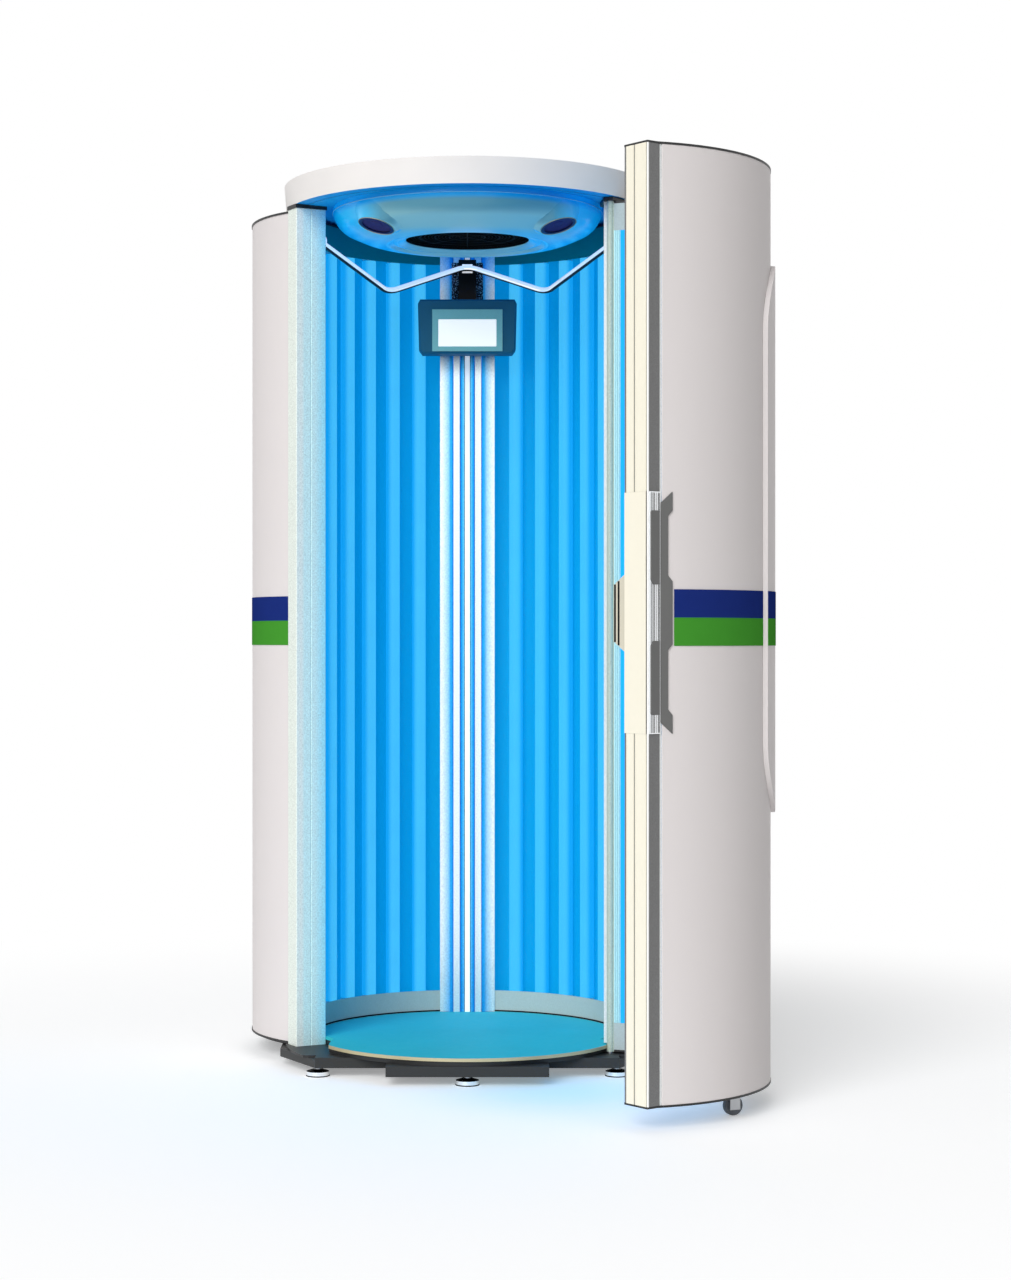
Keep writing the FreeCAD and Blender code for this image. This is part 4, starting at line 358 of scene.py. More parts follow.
@cache
def polished_chrome():
    """Steel, polished and chrome plated: a bright mirror with painted dark reflections where it faces straight
    up or down.
    """
    material, tree, shader, place = new_finish("polished_chrome", linear("#F4F6F8"), 0.1, 1.0)
    facing = add(tree, "SeparateXYZ", links={0: add(tree, "TexCoord").outputs["Normal"]})
    upright = add(tree, "Math", links={0: facing.outputs["Z"]}, operation="ABSOLUTE")
    dark = add(tree, "MapRange", {"From Min": 0.45, "From Max": 0.85}, {"Value": upright}, **SMOOTH)
    haze = add(tree, "TexNoise", {"Scale": 1 / (8 * MM), "Detail": 2.0}, {"Vector": place})
    gloss = add(tree, "MapRange", {"To Min": 0.06, "To Max": 0.16}, {"Value": haze})
    tone = add(tree, "Mix", {FIRST: linear("#F4F6F8"), SECOND: linear("#1A2126")}, {FACTOR: dark})
    feed(shader, {"Base Color": tone, "Roughness": gloss})
    return material


@cache
def lit_tube():
    """Glass tube coated inside with phosphor, lit: brightest along its middle, with faint clouds."""
    strength = bpy.context.scene.booth_stage.tube_strength
    material, tree, shader, place = new_finish("lit_tube", linear("#0B4E78"), 0.35, specular=0.1,
                                               **{"Emission Strength": strength})
    flat = add(tree, "VectorMath", {1: (1, 1, 0)}, {0: place}, operation="MULTIPLY")
    outwards = add(tree, "VectorMath", links={0: flat}, operation="NORMALIZE")
    facing = add(tree, "TexCoord").outputs["Normal"]
    towards_axis = add(tree, "VectorMath", links={0: outwards, 1: facing}, operation="DOT_PRODUCT")
    middle = add(tree, "MapRange", {"From Min": -0.2, "From Max": -0.9}, {"Value": towards_axis}, **SMOOTH)
    clouds = add(tree, "TexNoise", {"Scale": 1 / (60 * MM), "Detail": 1.0}, {"Vector": place})
    coat_tone = add(tree, "Mix", {FIRST: shade(colours().glow, -0.06), SECOND: shade(colours().glow, 0.04)},
                    {FACTOR: clouds})
    tone = add(tree, "Mix", {FIRST: linear("#14A4EE")}, {FACTOR: middle, SECOND: coat_tone})
    feed(shader, {"Emission Color": tone})
    return material


@cache
def clear_blue_acrylic():
    """Cast acrylic sheet in front of the tubes: clear and glossy, tinted light blue, with faint ripples."""
    material, tree, shader, place = new_finish("clear_blue_acrylic", linear("#1596D2"), 0.08,
                                               specular=0.12, **{"IOR": 1.49, "Alpha": 0.1})
    ripples = add(tree, "TexNoise", {"Scale": 1 / (200 * MM), "Detail": 1.0}, {"Vector": place})
    gloss = add(tree, "MapRange", {"To Min": 0.05, "To Max": 0.14}, {"Value": ripples})
    feed(shader, {"Roughness": gloss})
    return material


@cache
def bordered_acrylic():
    """Acrylic sheet of the door: tinted blue, its border along the hinge near opaque with a painted blue glow
    standing in for the tubes' light.
    """
    material, tree, shader, place = new_finish("bordered_acrylic", linear("#1596D2"), 0.1, specular=0.12,
                                               **{"IOR": 1.49, "Emission Color": linear("#1CA0F6")})
    flat = add(tree, "VectorMath", {1: (1, 1, 0)}, {0: place}, operation="MULTIPLY")
    away = add(tree, "VectorMath", {1: HINGE_LINE}, {0: flat}, operation="DISTANCE")
    low, high = 46 * MM, 50 * MM
    border = add(tree, "MapRange", {"From Min": low, "From Max": high, "To Min": 0.95, "To Max": 0.1},
                 {"Value": away})
    painted_border_glow = add(tree, "MapRange", {"From Min": low, "From Max": high, "To Min": 0.6, "To Max": 0.0},
                {"Value": away})
    feed(shader, {"Alpha": border, "Emission Strength": painted_border_glow})
    return material


@cache
def moulded_ceiling():
    """Vacuum-formed ABS, high gloss, its tones painted light: grey-teal in front, the tubes' blue painted at
    the sides and along the rim, with a painted blue glow at the sides.
    """
    material, tree, shader, place = grained("moulded_ceiling", colours().dome, 0.22, 90, 0.04, 0.15,
                                            specular=0.25, **{"Emission Strength": 0.25})
    facing = add(tree, "SeparateXYZ", links={0: add(tree, "TexCoord").outputs["Normal"]})
    height = add(tree, "SeparateXYZ", links={0: place})
    flatter = add(tree, "MapRange", {"From Min": -0.8, "From Max": -0.38}, {"Value": facing.outputs["Y"]},
                  **SMOOTH)
    inwards = add(tree, "MapRange", {"From Min": -0.3, "From Max": 0.08}, {"Value": facing.outputs["Y"]},
                  **SMOOTH)
    aside = add(tree, "Math", links={0: height.outputs["X"]}, operation="ABSOLUTE")
    lateral = add(tree, "MapRange", {"From Min": 200 * MM, "From Max": 310 * MM}, {"Value": aside},
                  **SMOOTH)
    painted_tube_blue = add(tree, "Math", links={0: inwards, 1: lateral}, operation="MAXIMUM")
    rim = add(tree, "MapRange", {"From Min": 2176 * MM, "From Max": 2190 * MM}, {"Value": height.outputs["Z"]},
              **SMOOTH)
    front = add(tree, "Mix", {FIRST: linear("#5FA0B4"), SECOND: colours().dome}, {FACTOR: flatter})
    inner = add(tree, "Mix", {SECOND: linear("#12C4FA")}, {FACTOR: painted_tube_blue, FIRST: front})
    whole = add(tree, "Mix", {SECOND: linear("#10AAF2")}, {FACTOR: rim, FIRST: inner})
    # Painted glow: the sides give off the tubes' blue, though the moulding is no lamp.
    through = add(tree, "Mix", {FIRST: linear("#000000"), SECOND: linear("#0A98EC")}, {FACTOR: painted_tube_blue})
    feed(shader, {"Base Color": whole, "Emission Color": through})
    return material


@cache
def satin_disc():
    """Satin acrylic sheet of the standing disc, with slow clouds and fine scuffs from bare feet."""
    material, tree, shader, place = new_finish("satin_disc", colours().disc, 0.6, specular=0.06)
    clouds = add(tree, "TexNoise", {"Scale": 1 / (150 * MM), "Detail": 2.0}, {"Vector": place})
    tone = add(tree, "Mix", {FIRST: shade(colours().disc, -0.1), SECOND: shade(colours().disc, 0.08)},
               {FACTOR: clouds})
    scuffs = add(tree, "TexNoise", {"Scale": 1 / (12 * MM), "Detail": 4.0}, {"Vector": place})
    haze = add(tree, "MapRange", {"To Min": 0.5, "To Max": 0.7}, {"Value": scuffs})
    feed(shader, {"Base Color": tone, "Roughness": haze})
    return material


@cache
def cabinet_band_coat():
    """Speckled paint of the cabinets' bands: pale grey-green, with the shade under the ceiling painted in teal
    on the upper bands.
    """
    material, tree, shader, place = grained("cabinet_band_coat", linear("#B2C0BA"), 0.5, 3, 0.14, 0.03,
                                            specular=0.08)
    height = add(tree, "SeparateXYZ", links={0: place})
    upper = add(tree, "Math", {1: 1000 * MM}, {0: height.outputs["Z"]}, operation="GREATER_THAN")
    speckle = add(tree, "TexNoise", {"Scale": 1 / (3 * MM), "Detail": 2.0}, {"Vector": place})
    sill = add(tree, "Mix", {FIRST: linear("#A6B4AE"), SECOND: linear("#BECCC6")}, {FACTOR: speckle})
    # Painted shade: bands above 1 m take a teal tone.
    tone = add(tree, "Mix", {SECOND: linear("#008287")}, {FACTOR: upper, FIRST: sill})
    feed(shader, {"Base Color": tone})
    return material


@cache
def bar_chrome():
    """Bent round bar, chrome plated: a faint glow stands in for the tubes' reflection; painted shade
    underneath.
    """
    material, tree, shader, place = new_finish("bar_chrome", linear("#FFFFFF"), 0.08, 0.6,
                                               **{"Emission Strength": 0.45})
    facing = add(tree, "SeparateXYZ", links={0: add(tree, "TexCoord").outputs["Normal"]})
    under = add(tree, "MapRange", {"From Min": -0.4, "From Max": -0.65}, {"Value": facing.outputs["Z"]},
                **SMOOTH)
    haze = add(tree, "TexNoise", {"Scale": 1 / (40 * MM), "Detail": 1.0}, {"Vector": place})
    gloss = add(tree, "MapRange", {"To Min": 0.1, "To Max": 0.2}, {"Value": haze})
    tone = add(tree, "Mix", {FIRST: linear("#FFFFFF"), SECOND: linear("#10161A")}, {FACTOR: under})
    feed(shader, {"Base Color": tone, "Emission Color": tone, "Roughness": gloss})
    return material


# ---- making and placing pieces ---------------------------------------------------------------------------

def coat(material, *nodes):
    """Gives nodes of the model a material or a plain finish, through their objects' material slots."""
    for name in nodes:
        for slot in frame["nodes"][name].material_slots:
            slot.material = finish(material)


def new_piece(name, form, material, body="booth", smooth_angle=35):
    """Turns a finished bmesh into a piece that rides on a body and takes its finish from a slot."""
    bmesh.ops.recalc_face_normals(form, faces=form.faces)
    mesh = bpy.data.meshes.new(name)
    form.to_mesh(mesh)
    form.free()
    mesh.shade_smooth()
    mesh.set_sharp_from_angle(angle=math.radians(smooth_angle))
    mesh.materials.append(finish(material))
    piece = bpy.data.objects.new(name, mesh)
    bpy.context.scene.collection.objects.link(piece)
    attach(piece, body)
    return piece


def moved(x=0.0, y=0.0, z=0.0):
    """A move by millimetres."""
    return Matrix.Translation(Vector((x, y, z)) * MM)


def turn_up(direction):
    """The turn that takes +Z to a direction."""
    return Vector((0, 0, 1)).rotation_difference(Vector(direction)).to_matrix().to_4x4()


def around(angle):
    """The level direction at an angle in radians."""
    return Vector((math.cos(angle), math.sin(angle), 0))


def rectangle(x_from, y_from, x_to, y_to):
    """The corners of a rectangle, in turn."""
    return ((x_from, y_from), (x_to, y_from), (x_to, y_to), (x_from, y_to))


def add_turned(form, profile, place=Matrix(), segments=32, closed=False):
    """Adds a turned shape: profile holds (radius, height) pairs about the place's own Z.

    A third value gives the number of flats, so that a ring is a hexagon across its flats, say.
    """
    rings = []
    for radius, height, *flats in profile:
        if radius == 0:
            rings.append([form.verts.new(place @ Vector((0, 0, height * MM)))])
            continue
        ring = []
        for i in range(segments):
            angle = 2 * math.pi * i / segments
            reach = radius
            if flats:
                wedge = 2 * math.pi / flats[0]
                reach = radius / math.cos(angle % wedge - wedge / 2)
            ring.append(form.verts.new(place @ (around(angle) * reach * MM + Vector((0, 0, height * MM)))))
        rings.append(ring)
    pairs = list(zip(rings, rings[1:])) + ([(rings[-1], rings[0])] if closed else [])
    for low, high in pairs:
        for i in range(segments):
            j = (i + 1) % segments
            corners = [low[i % len(low)], low[j % len(low)], high[j % len(high)], high[i % len(high)]]
            unique = list(dict.fromkeys(corners))
            if len(unique) > 2:
                form.faces.new(unique)


def add_band(form, inner, outer, low, high, place=Matrix(), segments=96):
    """Adds a ring of rectangular section."""
    add_turned(form, rectangle(inner, low, outer, high), place, segments, closed=True)


def add_ring(form, ring_radius, wire_radius, place, segments=96, sides=10):
    """Adds a round-section ring about the place's own Z."""
    profile = [(ring_radius + wire_radius * math.cos(a), wire_radius * math.sin(a))
               for a in (2 * math.pi * i / sides for i in range(sides))]
    add_turned(form, profile, place, segments, closed=True)


def add_extruded(form, outline, low, high, place=Matrix()):
    """Adds an upright strip of constant section between two heights of the place."""
    ends = [[form.verts.new(place @ (Vector((x, y, z)) * MM)) for x, y in outline] for z in (low, high)]
    for end in ends:
        form.faces.new(end)
    join_sections(form, *ends)


def join_sections(form, first, second):
    """Faces between two closed sections of as many points."""
    for i in range(len(first)):
        j = (i + 1) % len(first)
        form.faces.new((first[i], first[j], second[j], second[i]))


def add_arc_strip(form, inner, outer, low, high, start, sweep, steps=96):
    """Adds a curved strip about the booth's axis, from a start angle in degrees."""
    sections = []
    for i in range(steps + 1):
        along = around(math.radians(start + sweep * i / steps))
        sections.append([form.verts.new((along * radius + Vector((0, 0, height))) * MM)
                         for radius, height in rectangle(inner, low, outer, high)])
    form.faces.new(sections[0])
    form.faces.new(sections[-1])
    for first, second in zip(sections, sections[1:]):
        join_sections(form, first, second)


def add_screw(form, spot, direction):
    """Adds a button-head screw with a hexagon socket, seated at a spot."""
    sizes = bpy.context.scene.booth_sizes
    radius = sizes.screw_radius / MM
    height = sizes.screw_height / MM
    profile = [(0, 0.4 * height), (0.4 * radius, 0.4 * height, 6), (0.42 * radius, height, 6),
               (0.62 * radius, height), (0.88 * radius, 0.72 * height), (radius, 0.3 * height), (radius, -0.2)]
    add_turned(form, profile, Matrix.Translation(spot) @ turn_up(direction), 24)


# ---- places on the booth ---------------------------------------------------------------------------------

# Points in metres, heights and radii in millimetres.
POST_CORNER = Vector((-364.5, -51, 0)) * MM       # inner front corner of the left front post
POST_SLANT = math.radians(28.2)                   # of the posts' front faces
HINGE_LINE = Vector((361, -187, 0)) * MM
DOOR_OPEN = math.radians(99.3)
FEET = ((0, -376), (-374, -245), (374, -245), (0, 0), (-460, 120), (460, 120), (-230, 500), (230, 500))
SHELL_CENTRE = (205, 235)                         # of the right cabinet's shell
SHELL_FLANGE = 372                                # from that centre to the rear flange
CANOPY_CENTRE = Vector((0, 90, 0)) * MM
CANOPY_LIP_TOP = 2209.5
ROOF_TOP = 2213
CEILING_RADIUS = 349
THROAT_RADIUS = 159
LEADING_ENDS = (57, 2191)                         # heights of the strips on the leading profile
FACE_PLATE_ENDS = (882, 1419)
BLUE_LIGHT_SHEET_ENDS = (2207.2, 2207.7)
# Radius and height of the ceiling moulding's underside, from its throat ring to its rim.
CEILING_OUTLINE = ((211, 2115), (262, 2123.8), (290, 2134.5), (310, 2144), (326, 2153.5), (338, 2168),
                   (345.5, 2181), (348.8, 2193))


def closing_face():
    """Frame of the door's leading profile: X out along the face that meets the post, Y away from the post."""
    hinge = Matrix.Translation(HINGE_LINE)
    swing = hinge @ Matrix.Rotation(DOOR_OPEN, 4, "Z") @ hinge.inverted()
    return swing @ Matrix.Translation(POST_CORNER) @ Matrix.Rotation(math.pi + POST_SLANT, 4, "Z")


def ceiling_height(radius):
    """Height of the ceiling moulding's underside at a radius; None past its rim. Both are in metres."""
    for (near, low), (far, high) in zip(CEILING_OUTLINE, CEILING_OUTLINE[1:]):
        if radius <= far * MM:
            return (low + (high - low) * (radius / MM - near) / (far - near)) * MM
    return None


def ceiling_hit(start, direction):
    """Where a line first meets the ceiling moulding from below; None where it passes outside the rim."""
    for step in range(140):
        spot = start + direction * step * 0.5 * MM
        height = ceiling_height(math.hypot(spot.x, spot.y))
        if height is not None and spot.z >= height:
            return spot
    return None


def speaker_place(side):
    """Frame of a speaker: Z up into the ceiling moulding."""
    spot = Vector((side * 227, -204, 2140.5)) * MM
    yaw = math.atan2(spot.y, spot.x)
    return Matrix.Translation(spot) @ Matrix.Rotation(yaw, 4, "Z") @ Matrix.Rotation(math.radians(-20), 4, "Y")


# ---- operators -------------------------------------------------------------------------------------------

class BOOTH_OT_casings(bpy.types.Operator):
    """Coats the shells, canopy, raised panel and stripes"""
    bl_idname = "booth.casings"
    bl_label = "Casings and stripes"

    def execute(self, context):
        coat("powder_coated_sheet", "left_cabinet_shell", "right_cabinet_shell", "door_shell",
             "door_front_panel", "control_gear_boxes")
        coat(powder_coated_canopy(), "canopy_band", "roof_plate")
        coat("cast_film_upper", "cabinet_blue_stripes", "door_blue_stripe")
        coat("cast_film_lower", "cabinet_green_stripes", "door_green_stripe")
        form = bmesh.new()
        for side in (-1, 1):
            centre = Vector((side * SHELL_CENTRE[0], SHELL_CENTRE[1], 0)) * MM
            out = Vector((-side * 175, 328, 0)).normalized()
            for height in range(160, 2150, 280):
                add_screw(form, centre + (out * SHELL_FLANGE + Vector((0, 0, height))) * MM, out)
        for step in range(12):
            along = around(math.radians(30 * step + 15))
            add_screw(form, CANOPY_CENTRE + (along * 452 + Vector((0, 0, ROOF_TOP))) * MM, (0, 0, 1))
        new_piece("casing_screws", form, "turned_steel")
        return {"FINISHED"}


class BOOTH_OT_extrusions(bpy.types.Operator):
    """Anodises the posts, the hinge column and the door's profiles"""
    bl_idname = "booth.extrusions"
    bl_label = "Posts and profiles"

    def execute(self, context):
        coat(front_post_aluminium(), "left_front_post", "right_front_post")
        coat("anodised_aluminium", "hinge_column")
        coat("stone_anodised_aluminium", "door_hinge_profile")
        coat("sky_anodised_aluminium", "door_cover_retainer")
        coat(rear_post_aluminium(), "rear_posts")
        coat("opal_acrylic", "centre_strip")
        coat("structured_dark_paint", "door_leading_profile")
        coat("moulded_black", "post_caps")
        coat("black_powder_coat", "cabinet_end_plates", "door_end_plates", "hinge_brackets")
        coat("turned_steel", "hinge_pins")
        form = bmesh.new()
        for side in (-1, 1):
            add_extruded(form, rectangle(side * 5.7, 387.2, side * 8.2, 388.1), 50, 2196)
        new_piece("rear_joint_gaskets", form, "black_gasket")
        self.corner_bead()
        return {"FINISHED"}

    def corner_bead(self):
        """A white bead over the leading profile's corner with a faint painted glow, as a painted highlight; a
        dark line inside it as painted shade in the gap, black beside the face plate, grey above and below; a
        pale one at the shell.
        """
        face = closing_face()
        low, high = LEADING_ENDS
        plate_low, plate_high = FACE_PLATE_ENDS
        bead = bmesh.new()
        outline = ((80.2, 6.0), (80.2, 5.2), (81.4, 5.2), (81.9, 5.7), (81.9, 9.4), (81.5, 9.9), (81.0, 9.9),
                   (81.0, 6.0))
        add_extruded(bead, outline, low, high, face)
        new_piece("leading_corner_bead", bead, "white_bead", "door", 60)
        # Painted shade in the gap between the seal strips and the corner bead.
        line = rectangle(78.0, 5.3, 80.2, 6.0)
        grey = bmesh.new()
        add_extruded(grey, line, low, plate_low, face)
        add_extruded(grey, line, plate_high, high, face)
        new_piece("leading_grey_line", grey, "stone_gasket", "door")
        black = bmesh.new()
        add_extruded(black, line, plate_low, plate_high, face)
        new_piece("leading_black_line", black, "black_gasket", "door")
        pale = bmesh.new()
        add_extruded(pale, rectangle(81.0, 42.0, 81.6, 47.26), low, high, face)
        new_piece("leading_shell_bead", pale, "anodised_aluminium", "door")


class BOOTH_OT_lamp_banks(bpy.types.Operator):
    """Lights the tubes and dresses what is around them"""
    bl_idname = "booth.lamp_banks"
    bl_label = "Lamp banks"

    def execute(self, context):
        coat(lit_tube(), "cabinet_lamps", "door_lamps")
        coat("bright_reflector", "cabinet_reflectors", "door_reflector")
        coat(clear_blue_acrylic(), "cabinet_lamp_covers")
        coat(bordered_acrylic(), "door_lamp_cover")
        coat("moulded_white", "cabinet_lampholders", "door_lampholders")
        coat(cabinet_band_coat(), "cabinet_end_bands")
        coat("band_coat", "door_end_bands")
        return {"FINISHED"}


class BOOTH_OT_floor(bpy.types.Operator):
    """Dresses the frame, the base plate, the standing disc and the feet"""
    bl_idname = "booth.floor"
    bl_label = "Frame, disc and feet"

    def execute(self, context):
        coat("grey_powder_coat", "base_frame")
        coat("black_powder_coat", "base_plate")
        coat("moulded_black", "floor_support")
        coat(satin_disc(), "floor_disc")
        coat("champagne_edge", "floor_rim")
        coat(polished_chrome(), "levelling_feet")
        form = bmesh.new()
        for x, y in FEET:
            nut = ((5.1, 17.4), (7.6, 17.4), (8, 18, 6), (8, 21, 6), (7.6, 21.6), (5.1, 21.6))
            add_turned(form, nut, moved(x, y), 36, closed=True)
        new_piece("foot_lock_nuts", form, "turned_steel")
        form = bmesh.new()
        for x, y in FEET:
            add_band(form, 27, 29.6, 0.2, 2.8, moved(x, y), 64)
        new_piece("foot_soles", form, "black_gasket")
        form = bmesh.new()
        add_arc_strip(form, 399.4, 402.7, 67.8, 71.4, 3, 174)
        new_piece("disc_gasket", form, "black_gasket")
        return {"FINISHED"}


class BOOTH_OT_ceiling(bpy.types.Operator):
    """Dresses the ceiling moulding, its rim, the speakers and the fan"""
    bl_idname = "booth.ceiling"
    bl_label = "Ceiling, speakers and fan"

    def execute(self, context):
        coat(moulded_ceiling(), "ceiling_dome")
        coat("navy_speaker_cloth", "speaker_cones")
        coat("navy_lacquer", "speaker_rims")
        coat("dipped_black", "fan_guard", "fan_rotor", "fan_motor")
        self.speaker_rings()
        self.speaker_fairings()
        self.fan_throat()
        self.lining()
        return {"FINISHED"}

    def speaker_rings(self):
        """A fine gold ring round each speaker and a pale one on its cloth."""
        gold = bmesh.new()
        pale = bmesh.new()
        for side in (-1, 1):
            place = speaker_place(side)
            add_ring(gold, 46.2, 0.9, place @ moved(z=-9.1), 72)
            add_ring(pale, 38, 0.5, place @ moved(z=-8.9), 72)
            add_band(pale, 38.2, 41.5, -9.0, -8.6, place, 72)
        new_piece("speaker_gold_rings", gold, "pale_gold_ring")
        new_piece("speaker_inner_rings", pale, "navy_lacquer")

    def speaker_fairings(self):
        """Moulded collars that carry the ceiling's surface down to each speaker's rim."""
        form = bmesh.new()
        steps, rows = 96, 8
        for side in (-1, 1):
            place = speaker_place(side)
            up = (place.to_3x3() @ Vector((0, 0, 1))).normalized()
            rings = [[] for _ in range(rows + 1)]
            for i in range(steps):
                along = around(2 * math.pi * i / steps)
                inner = place @ ((along * 47.4 + Vector((0, 0, -8.6))) * MM)
                outer = None
                reach = 64
                while outer is None:
                    outer = ceiling_hit(place @ ((along * reach + Vector((0, 0, -12))) * MM), up)
                    reach -= 1
                gain = (outer - inner).dot(up)
                for row in range(rows + 1):
                    share = row / rows
                    rise = share * share * (3 - 2 * share) if (outer - inner).length < 30 * MM else share
                    rings[row].append(form.verts.new(inner.lerp(outer, share) + up * gain * (rise - share)))
            for low, high in zip(rings, rings[1:]):
                join_sections(form, low, high)
        new_piece("speaker_fairings", form, moulded_ceiling(), smooth_angle=70)

    def fan_throat(self):
        """Black sleeve in the throat, which stands in for its shade, fine wire rings on the guard, and a dust
        filter above the blades, whose black also stands in for the shade inside the duct.
        """
        form = bmesh.new()
        for low, high in ((2129, 2134.8), (2138.3, 2210.5)):
            add_band(form, THROAT_RADIUS - 0.1, THROAT_RADIUS + 0.7, low, high)
        new_piece("fan_throat_sleeve", form, "black_gasket")
        form = bmesh.new()
        for radius in range(12, 156, 9):
            add_ring(form, radius, 0.9, moved(z=2136.5), 72, 8)
        new_piece("fan_guard_wires", form, "dipped_black")
        form = bmesh.new()
        add_band(form, 38.6, THROAT_RADIUS - 0.4, ROOF_TOP - 7, ROOF_TOP - 5.5)
        new_piece("fan_dust_filter", form, "black_fleece")

    def lining(self):
        """A sheet of painted blue light between the canopy lip and the ceiling moulding, and a pale ring at
        the moulding's edge as its painted highlight.
        """
        form = bmesh.new()
        low, high = BLUE_LIGHT_SHEET_ENDS
        steps = 96
        sections = []
        for i in range(steps):
            along = around(2 * math.pi * i / steps)
            near = along * (CEILING_RADIUS + 0.6) * MM
            far = CANOPY_CENTRE + along * 439 * MM
            corners = ((near, low), (far, low), (far, high), (near, high))
            sections.append([form.verts.new(spot + Vector((0, 0, height * MM))) for spot, height in corners])
        for i in range(steps):
            join_sections(form, sections[i], sections[(i + 1) % steps])
        new_piece("ceiling_lining", form, "blue_lining")
        # Painted highlight along the ceiling moulding's rim.
        form = bmesh.new()
        add_ring(form, CEILING_RADIUS + 0.8, 1.3, moved(z=2194), 128)
        new_piece("ceiling_edge_trim", form, "sky_trim")


class BOOTH_OT_inside_fittings(bpy.types.Operator):
    """Dresses the hand bar and the control panel"""
    bl_idname = "booth.inside_fittings"
    bl_label = "Hand bar and control panel"

    def execute(self, context):
        coat(bar_chrome(), "hand_bar", "hand_bar_mounts")
        coat("gloss_black", "panel_column")
        coat("teal_housing", "panel_housing")
        coat("pale_bezel", "panel_bezel")
        coat("bare_screen", "panel_screen")
        # Ribs over the rear posts' tops beside the column: painted shade with painted highlights.
        form = bmesh.new()
        for side in (-1, 1):
            near, far = sorted((side * 24.2, side * 43))
            middle = (near + far) / 2
            outline = ((near, 384), (near, 379), (middle - 2, 376.5), (middle + 2, 376.5), (far, 379),
                       (far, 384))
            add_extruded(form, outline, 1887, 2126)
        new_piece("column_side_ribs", form, speckled_black())
        return {"FINISHED"}


class BOOTH_OT_door_fittings(bpy.types.Operator):
    """Dresses the door's seals, handle, grip and roller"""
    bl_idname = "booth.door_fittings"
    bl_label = "Door fittings"

    def execute(self, context):
        coat("cream_rubber", "door_seal_strips")
        coat("cream_lacquer", "door_face_plate")
        coat("moulded_handle", "door_handle_pads", "door_handle_bracket")
        coat(polished_chrome(), "door_pull_handle")
        # Thin dark strips along the handle: painted shade in its grooves.
        form = bmesh.new()
        low, high = FACE_PLATE_ENDS
        for start, wide in ((12.4, 1.0), (20.5, 2.2), (27, 0.8), (33, 0.8), (38.2, 1.0)):
            add_extruded(form, rectangle(84.9, start, 85.3, start + wide), low + 2, high - 2, closing_face())
        new_piece("handle_groove_lines", form, "moulded_handle", "door")
        coat("beige_grip", "door_inner_grip")
        # Black strips in the grip's grooves: painted shade.
        form = bmesh.new()
        for start, end, rise in ((-21.4, -15.2, 15), (-33.9, -27.7, 22.5)):
            add_extruded(form, rectangle(start, 7.7, end, 9.4), 1063 + rise, 1237 - rise, closing_face())
        new_piece("grip_inlays", form, "black_gasket", "door")
        coat("turned_steel", "door_roller_fork")
        coat("grey_tyre", "door_roller")
        return {"FINISHED"}


class BOOTH_OT_stage(bpy.types.Operator):
    """Lays the pale floor and sets the light and the camera"""
    bl_idname = "booth.stage"
    bl_label = "Stage"

    def execute(self, context):
        stage = context.scene.booth_stage
        self.floor()
        self.room_light(context, stage)
        self.studio_lamp(context, stage)
        self.camera(context, stage)
        context.scene.view_settings.view_transform = "Standard"
        return {"FINISHED"}

    def floor(self):
        """A wide round floor whose far part is plain white to the camera, so that it has no horizon."""
        form = bmesh.new()
        add_turned(form, [(radius, 0) for radius in (0, 500, 1000, 2000, 4000, 8000, 16000)], segments=96)
        for face in form.faces:
            if face.normal.z < 0:
                face.normal_flip()
        mesh = bpy.data.meshes.new("floor")
        form.to_mesh(mesh)
        form.free()
        floor = bpy.data.objects.new("floor", mesh)
        bpy.context.scene.collection.objects.link(floor)
        mesh.materials.append(pale_floor())

    def room_light(self, context, stage):
        """Even light from all around; the camera, mirrors and clear sheets see plain white."""
        world = bpy.data.worlds.new("room")
        world.use_nodes = True
        tree = world.node_tree
        tree.nodes.clear()
        path = add(tree, "LightPath")
        seen = seen_ray(tree, path)
        light = add(tree, "Background", {"Color": (1, 1, 1, 1), "Strength": stage.sky_strength})
        white = add(tree, "Background", {"Color": (1, 1, 1, 1), "Strength": 1.0})
        both = add(tree, "MixShader", links={0: seen, 1: light, 2: white})
        add(tree, "OutputWorld", links={"Surface": both})
        context.scene.world = world

    def studio_lamp(self, context, stage):
        """One soft lamp, in front, a little to the left and above."""
        lamp = bpy.data.lights.new("studio_lamp", "SUN")
        lamp.energy = stage.lamp_strength
        lamp.angle = math.radians(40)
        holder = bpy.data.objects.new("studio_lamp", lamp)
        holder.rotation_euler = (math.radians(60), 0, math.radians(-23))
        context.scene.collection.objects.link(holder)

    def camera(self, context, stage):
        """Level camera straight in front of the axis; the shift sets the booth left of the middle."""
        camera = bpy.data.cameras.new("camera")
        camera.sensor_fit = "AUTO"
        camera.sensor_width = 36
        camera.lens = 71.44
        camera.shift_x = 0.0298
        camera.clip_end = 100
        holder = bpy.data.objects.new("camera", camera)
        holder.location = (0, -stage.camera_distance, stage.camera_height)
        holder.rotation_euler = (math.radians(90), 0, 0)
        context.scene.collection.objects.link(holder)
        context.scene.camera = holder


def seen_ray(tree, path):
    """1 for rays from the camera, a mirror or through a clear sheet; 0 for light that falls on the object."""
    mirror = add(tree, "Math", links={0: path.outputs["Is Camera Ray"], 1: path.outputs["Is Glossy Ray"]},
                 operation="MAXIMUM")
    return add(tree, "Math", links={0: mirror, 1: path.outputs["Is Transmission Ray"]},
               operation="MAXIMUM").outputs[0]


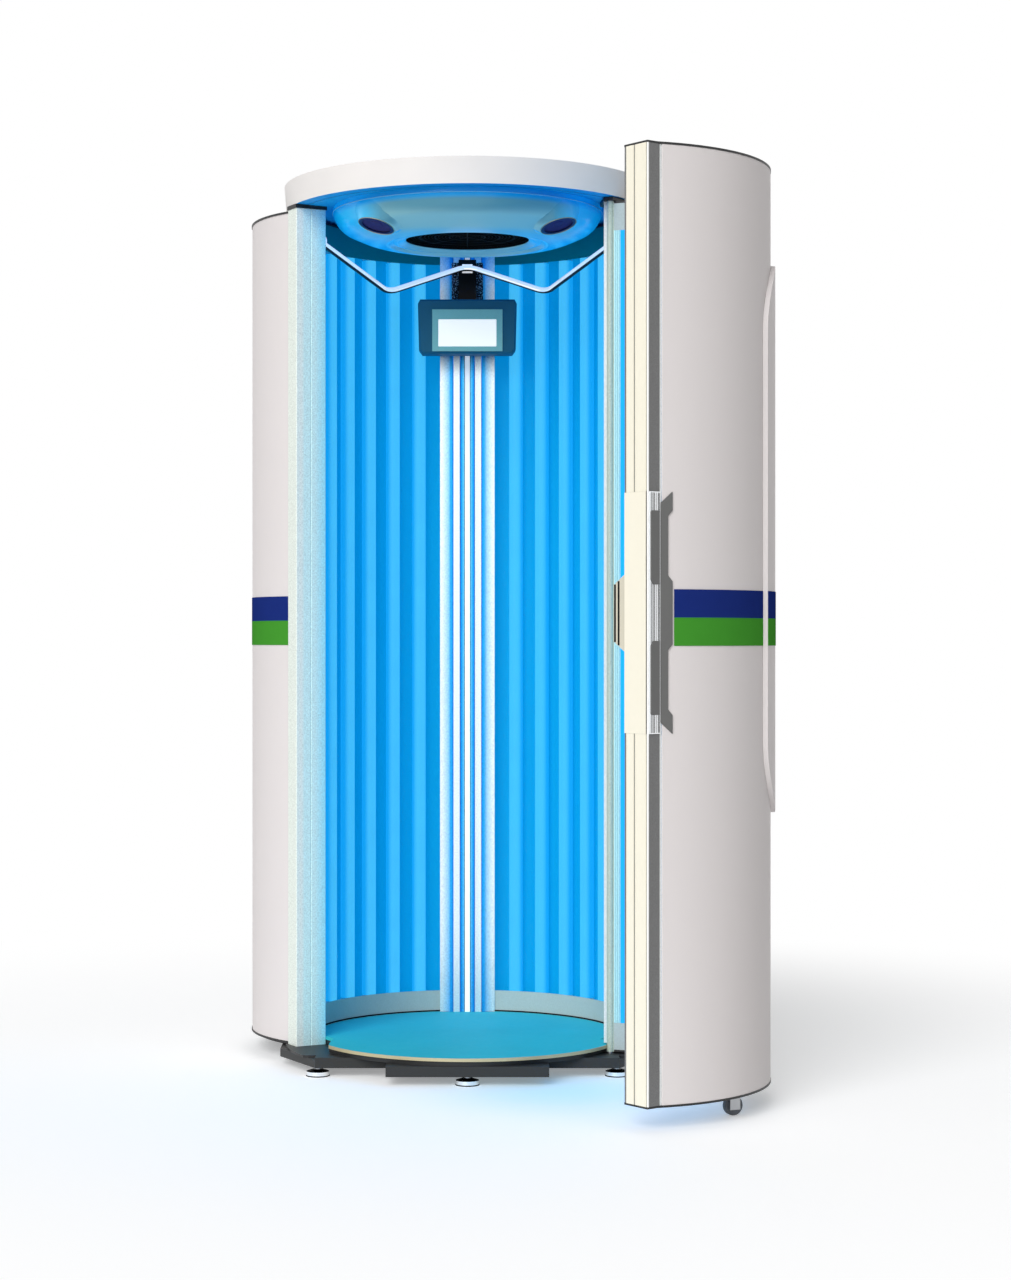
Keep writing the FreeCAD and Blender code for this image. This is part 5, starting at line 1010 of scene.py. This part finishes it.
@cache
def pale_floor():
    """Painted studio floor: pale and dull, with a pool of the tubes' blue light painted near the opening,
    plain white further out.
    """
    material, tree, shader, place = new_finish("pale_floor", linear("#F2F3F4"), 0.7)
    to_painted_light_pool = add(tree, "VectorMath", {1: (0.22, -0.45, 0)}, {0: place}, operation="DISTANCE")
    glow = add(tree, "MapRange", {"From Min": 0.45, "From Max": 0.0, "To Max": 0.6},
               {"Value": to_painted_light_pool}, **SMOOTH)
    tone = add(tree, "Mix", {FIRST: linear("#F2F3F4"), SECOND: linear("#A6DDF4")}, {FACTOR: glow})
    feed(shader, {"Base Color": tone})
    path = add(tree, "LightPath")
    seen = seen_ray(tree, path)
    lift = add(tree, "Emission", {"Color": (1, 1, 1, 1)}, {"Strength": seen})
    level = add(tree, "Math", {1: 0.34}, {0: seen}, operation="MULTIPLY")
    raised = add(tree, "Emission", {}, {"Color": tone, "Strength": level})
    near = add(tree, "AddShader", links={0: shader, 1: raised})
    distance = add(tree, "VectorMath", links={0: place}, operation="LENGTH")
    far = add(tree, "MapRange", {"From Min": 1.0, "From Max": 3.0}, {"Value": distance}, **SMOOTH)
    share = add(tree, "Math", links={0: far, 1: seen}, operation="MULTIPLY")
    both = add(tree, "MixShader", links={0: share, 1: near, 2: lift})
    feed(next(node for node in tree.nodes if node.type == "OUTPUT_MATERIAL"), {"Surface": both})
    return material


STEPS = (BOOTH_OT_casings, BOOTH_OT_extrusions, BOOTH_OT_lamp_banks, BOOTH_OT_floor, BOOTH_OT_ceiling,
         BOOTH_OT_inside_fittings, BOOTH_OT_door_fittings, BOOTH_OT_stage)


class BOOTH_PT_steps(bpy.types.Panel):
    """Lists the steps in the order in which they are run"""
    bl_label = "Tanning booth"
    bl_idname = "BOOTH_PT_steps"
    bl_space_type = "VIEW_3D"
    bl_region_type = "UI"
    bl_category = "Booth"

    def draw(self, context):
        for step in STEPS:
            self.layout.operator(step.bl_idname)


CLASSES = (BoothColours, BoothSizes, BoothStage) + STEPS + (BOOTH_PT_steps,)


def register():
    for kind in CLASSES:
        bpy.utils.register_class(kind)
    bpy.types.Scene.booth_colours = PointerProperty(type=BoothColours)
    bpy.types.Scene.booth_sizes = PointerProperty(type=BoothSizes)
    bpy.types.Scene.booth_stage = PointerProperty(type=BoothStage)


def unregister():
    del bpy.types.Scene.booth_stage
    del bpy.types.Scene.booth_sizes
    del bpy.types.Scene.booth_colours
    for kind in reversed(CLASSES):
        bpy.utils.unregister_class(kind)


def main():
    register()
    for step in STEPS:
        getattr(bpy.ops.booth, step.bl_idname.split(".")[1])()


if __name__ == "__main__":
    main()
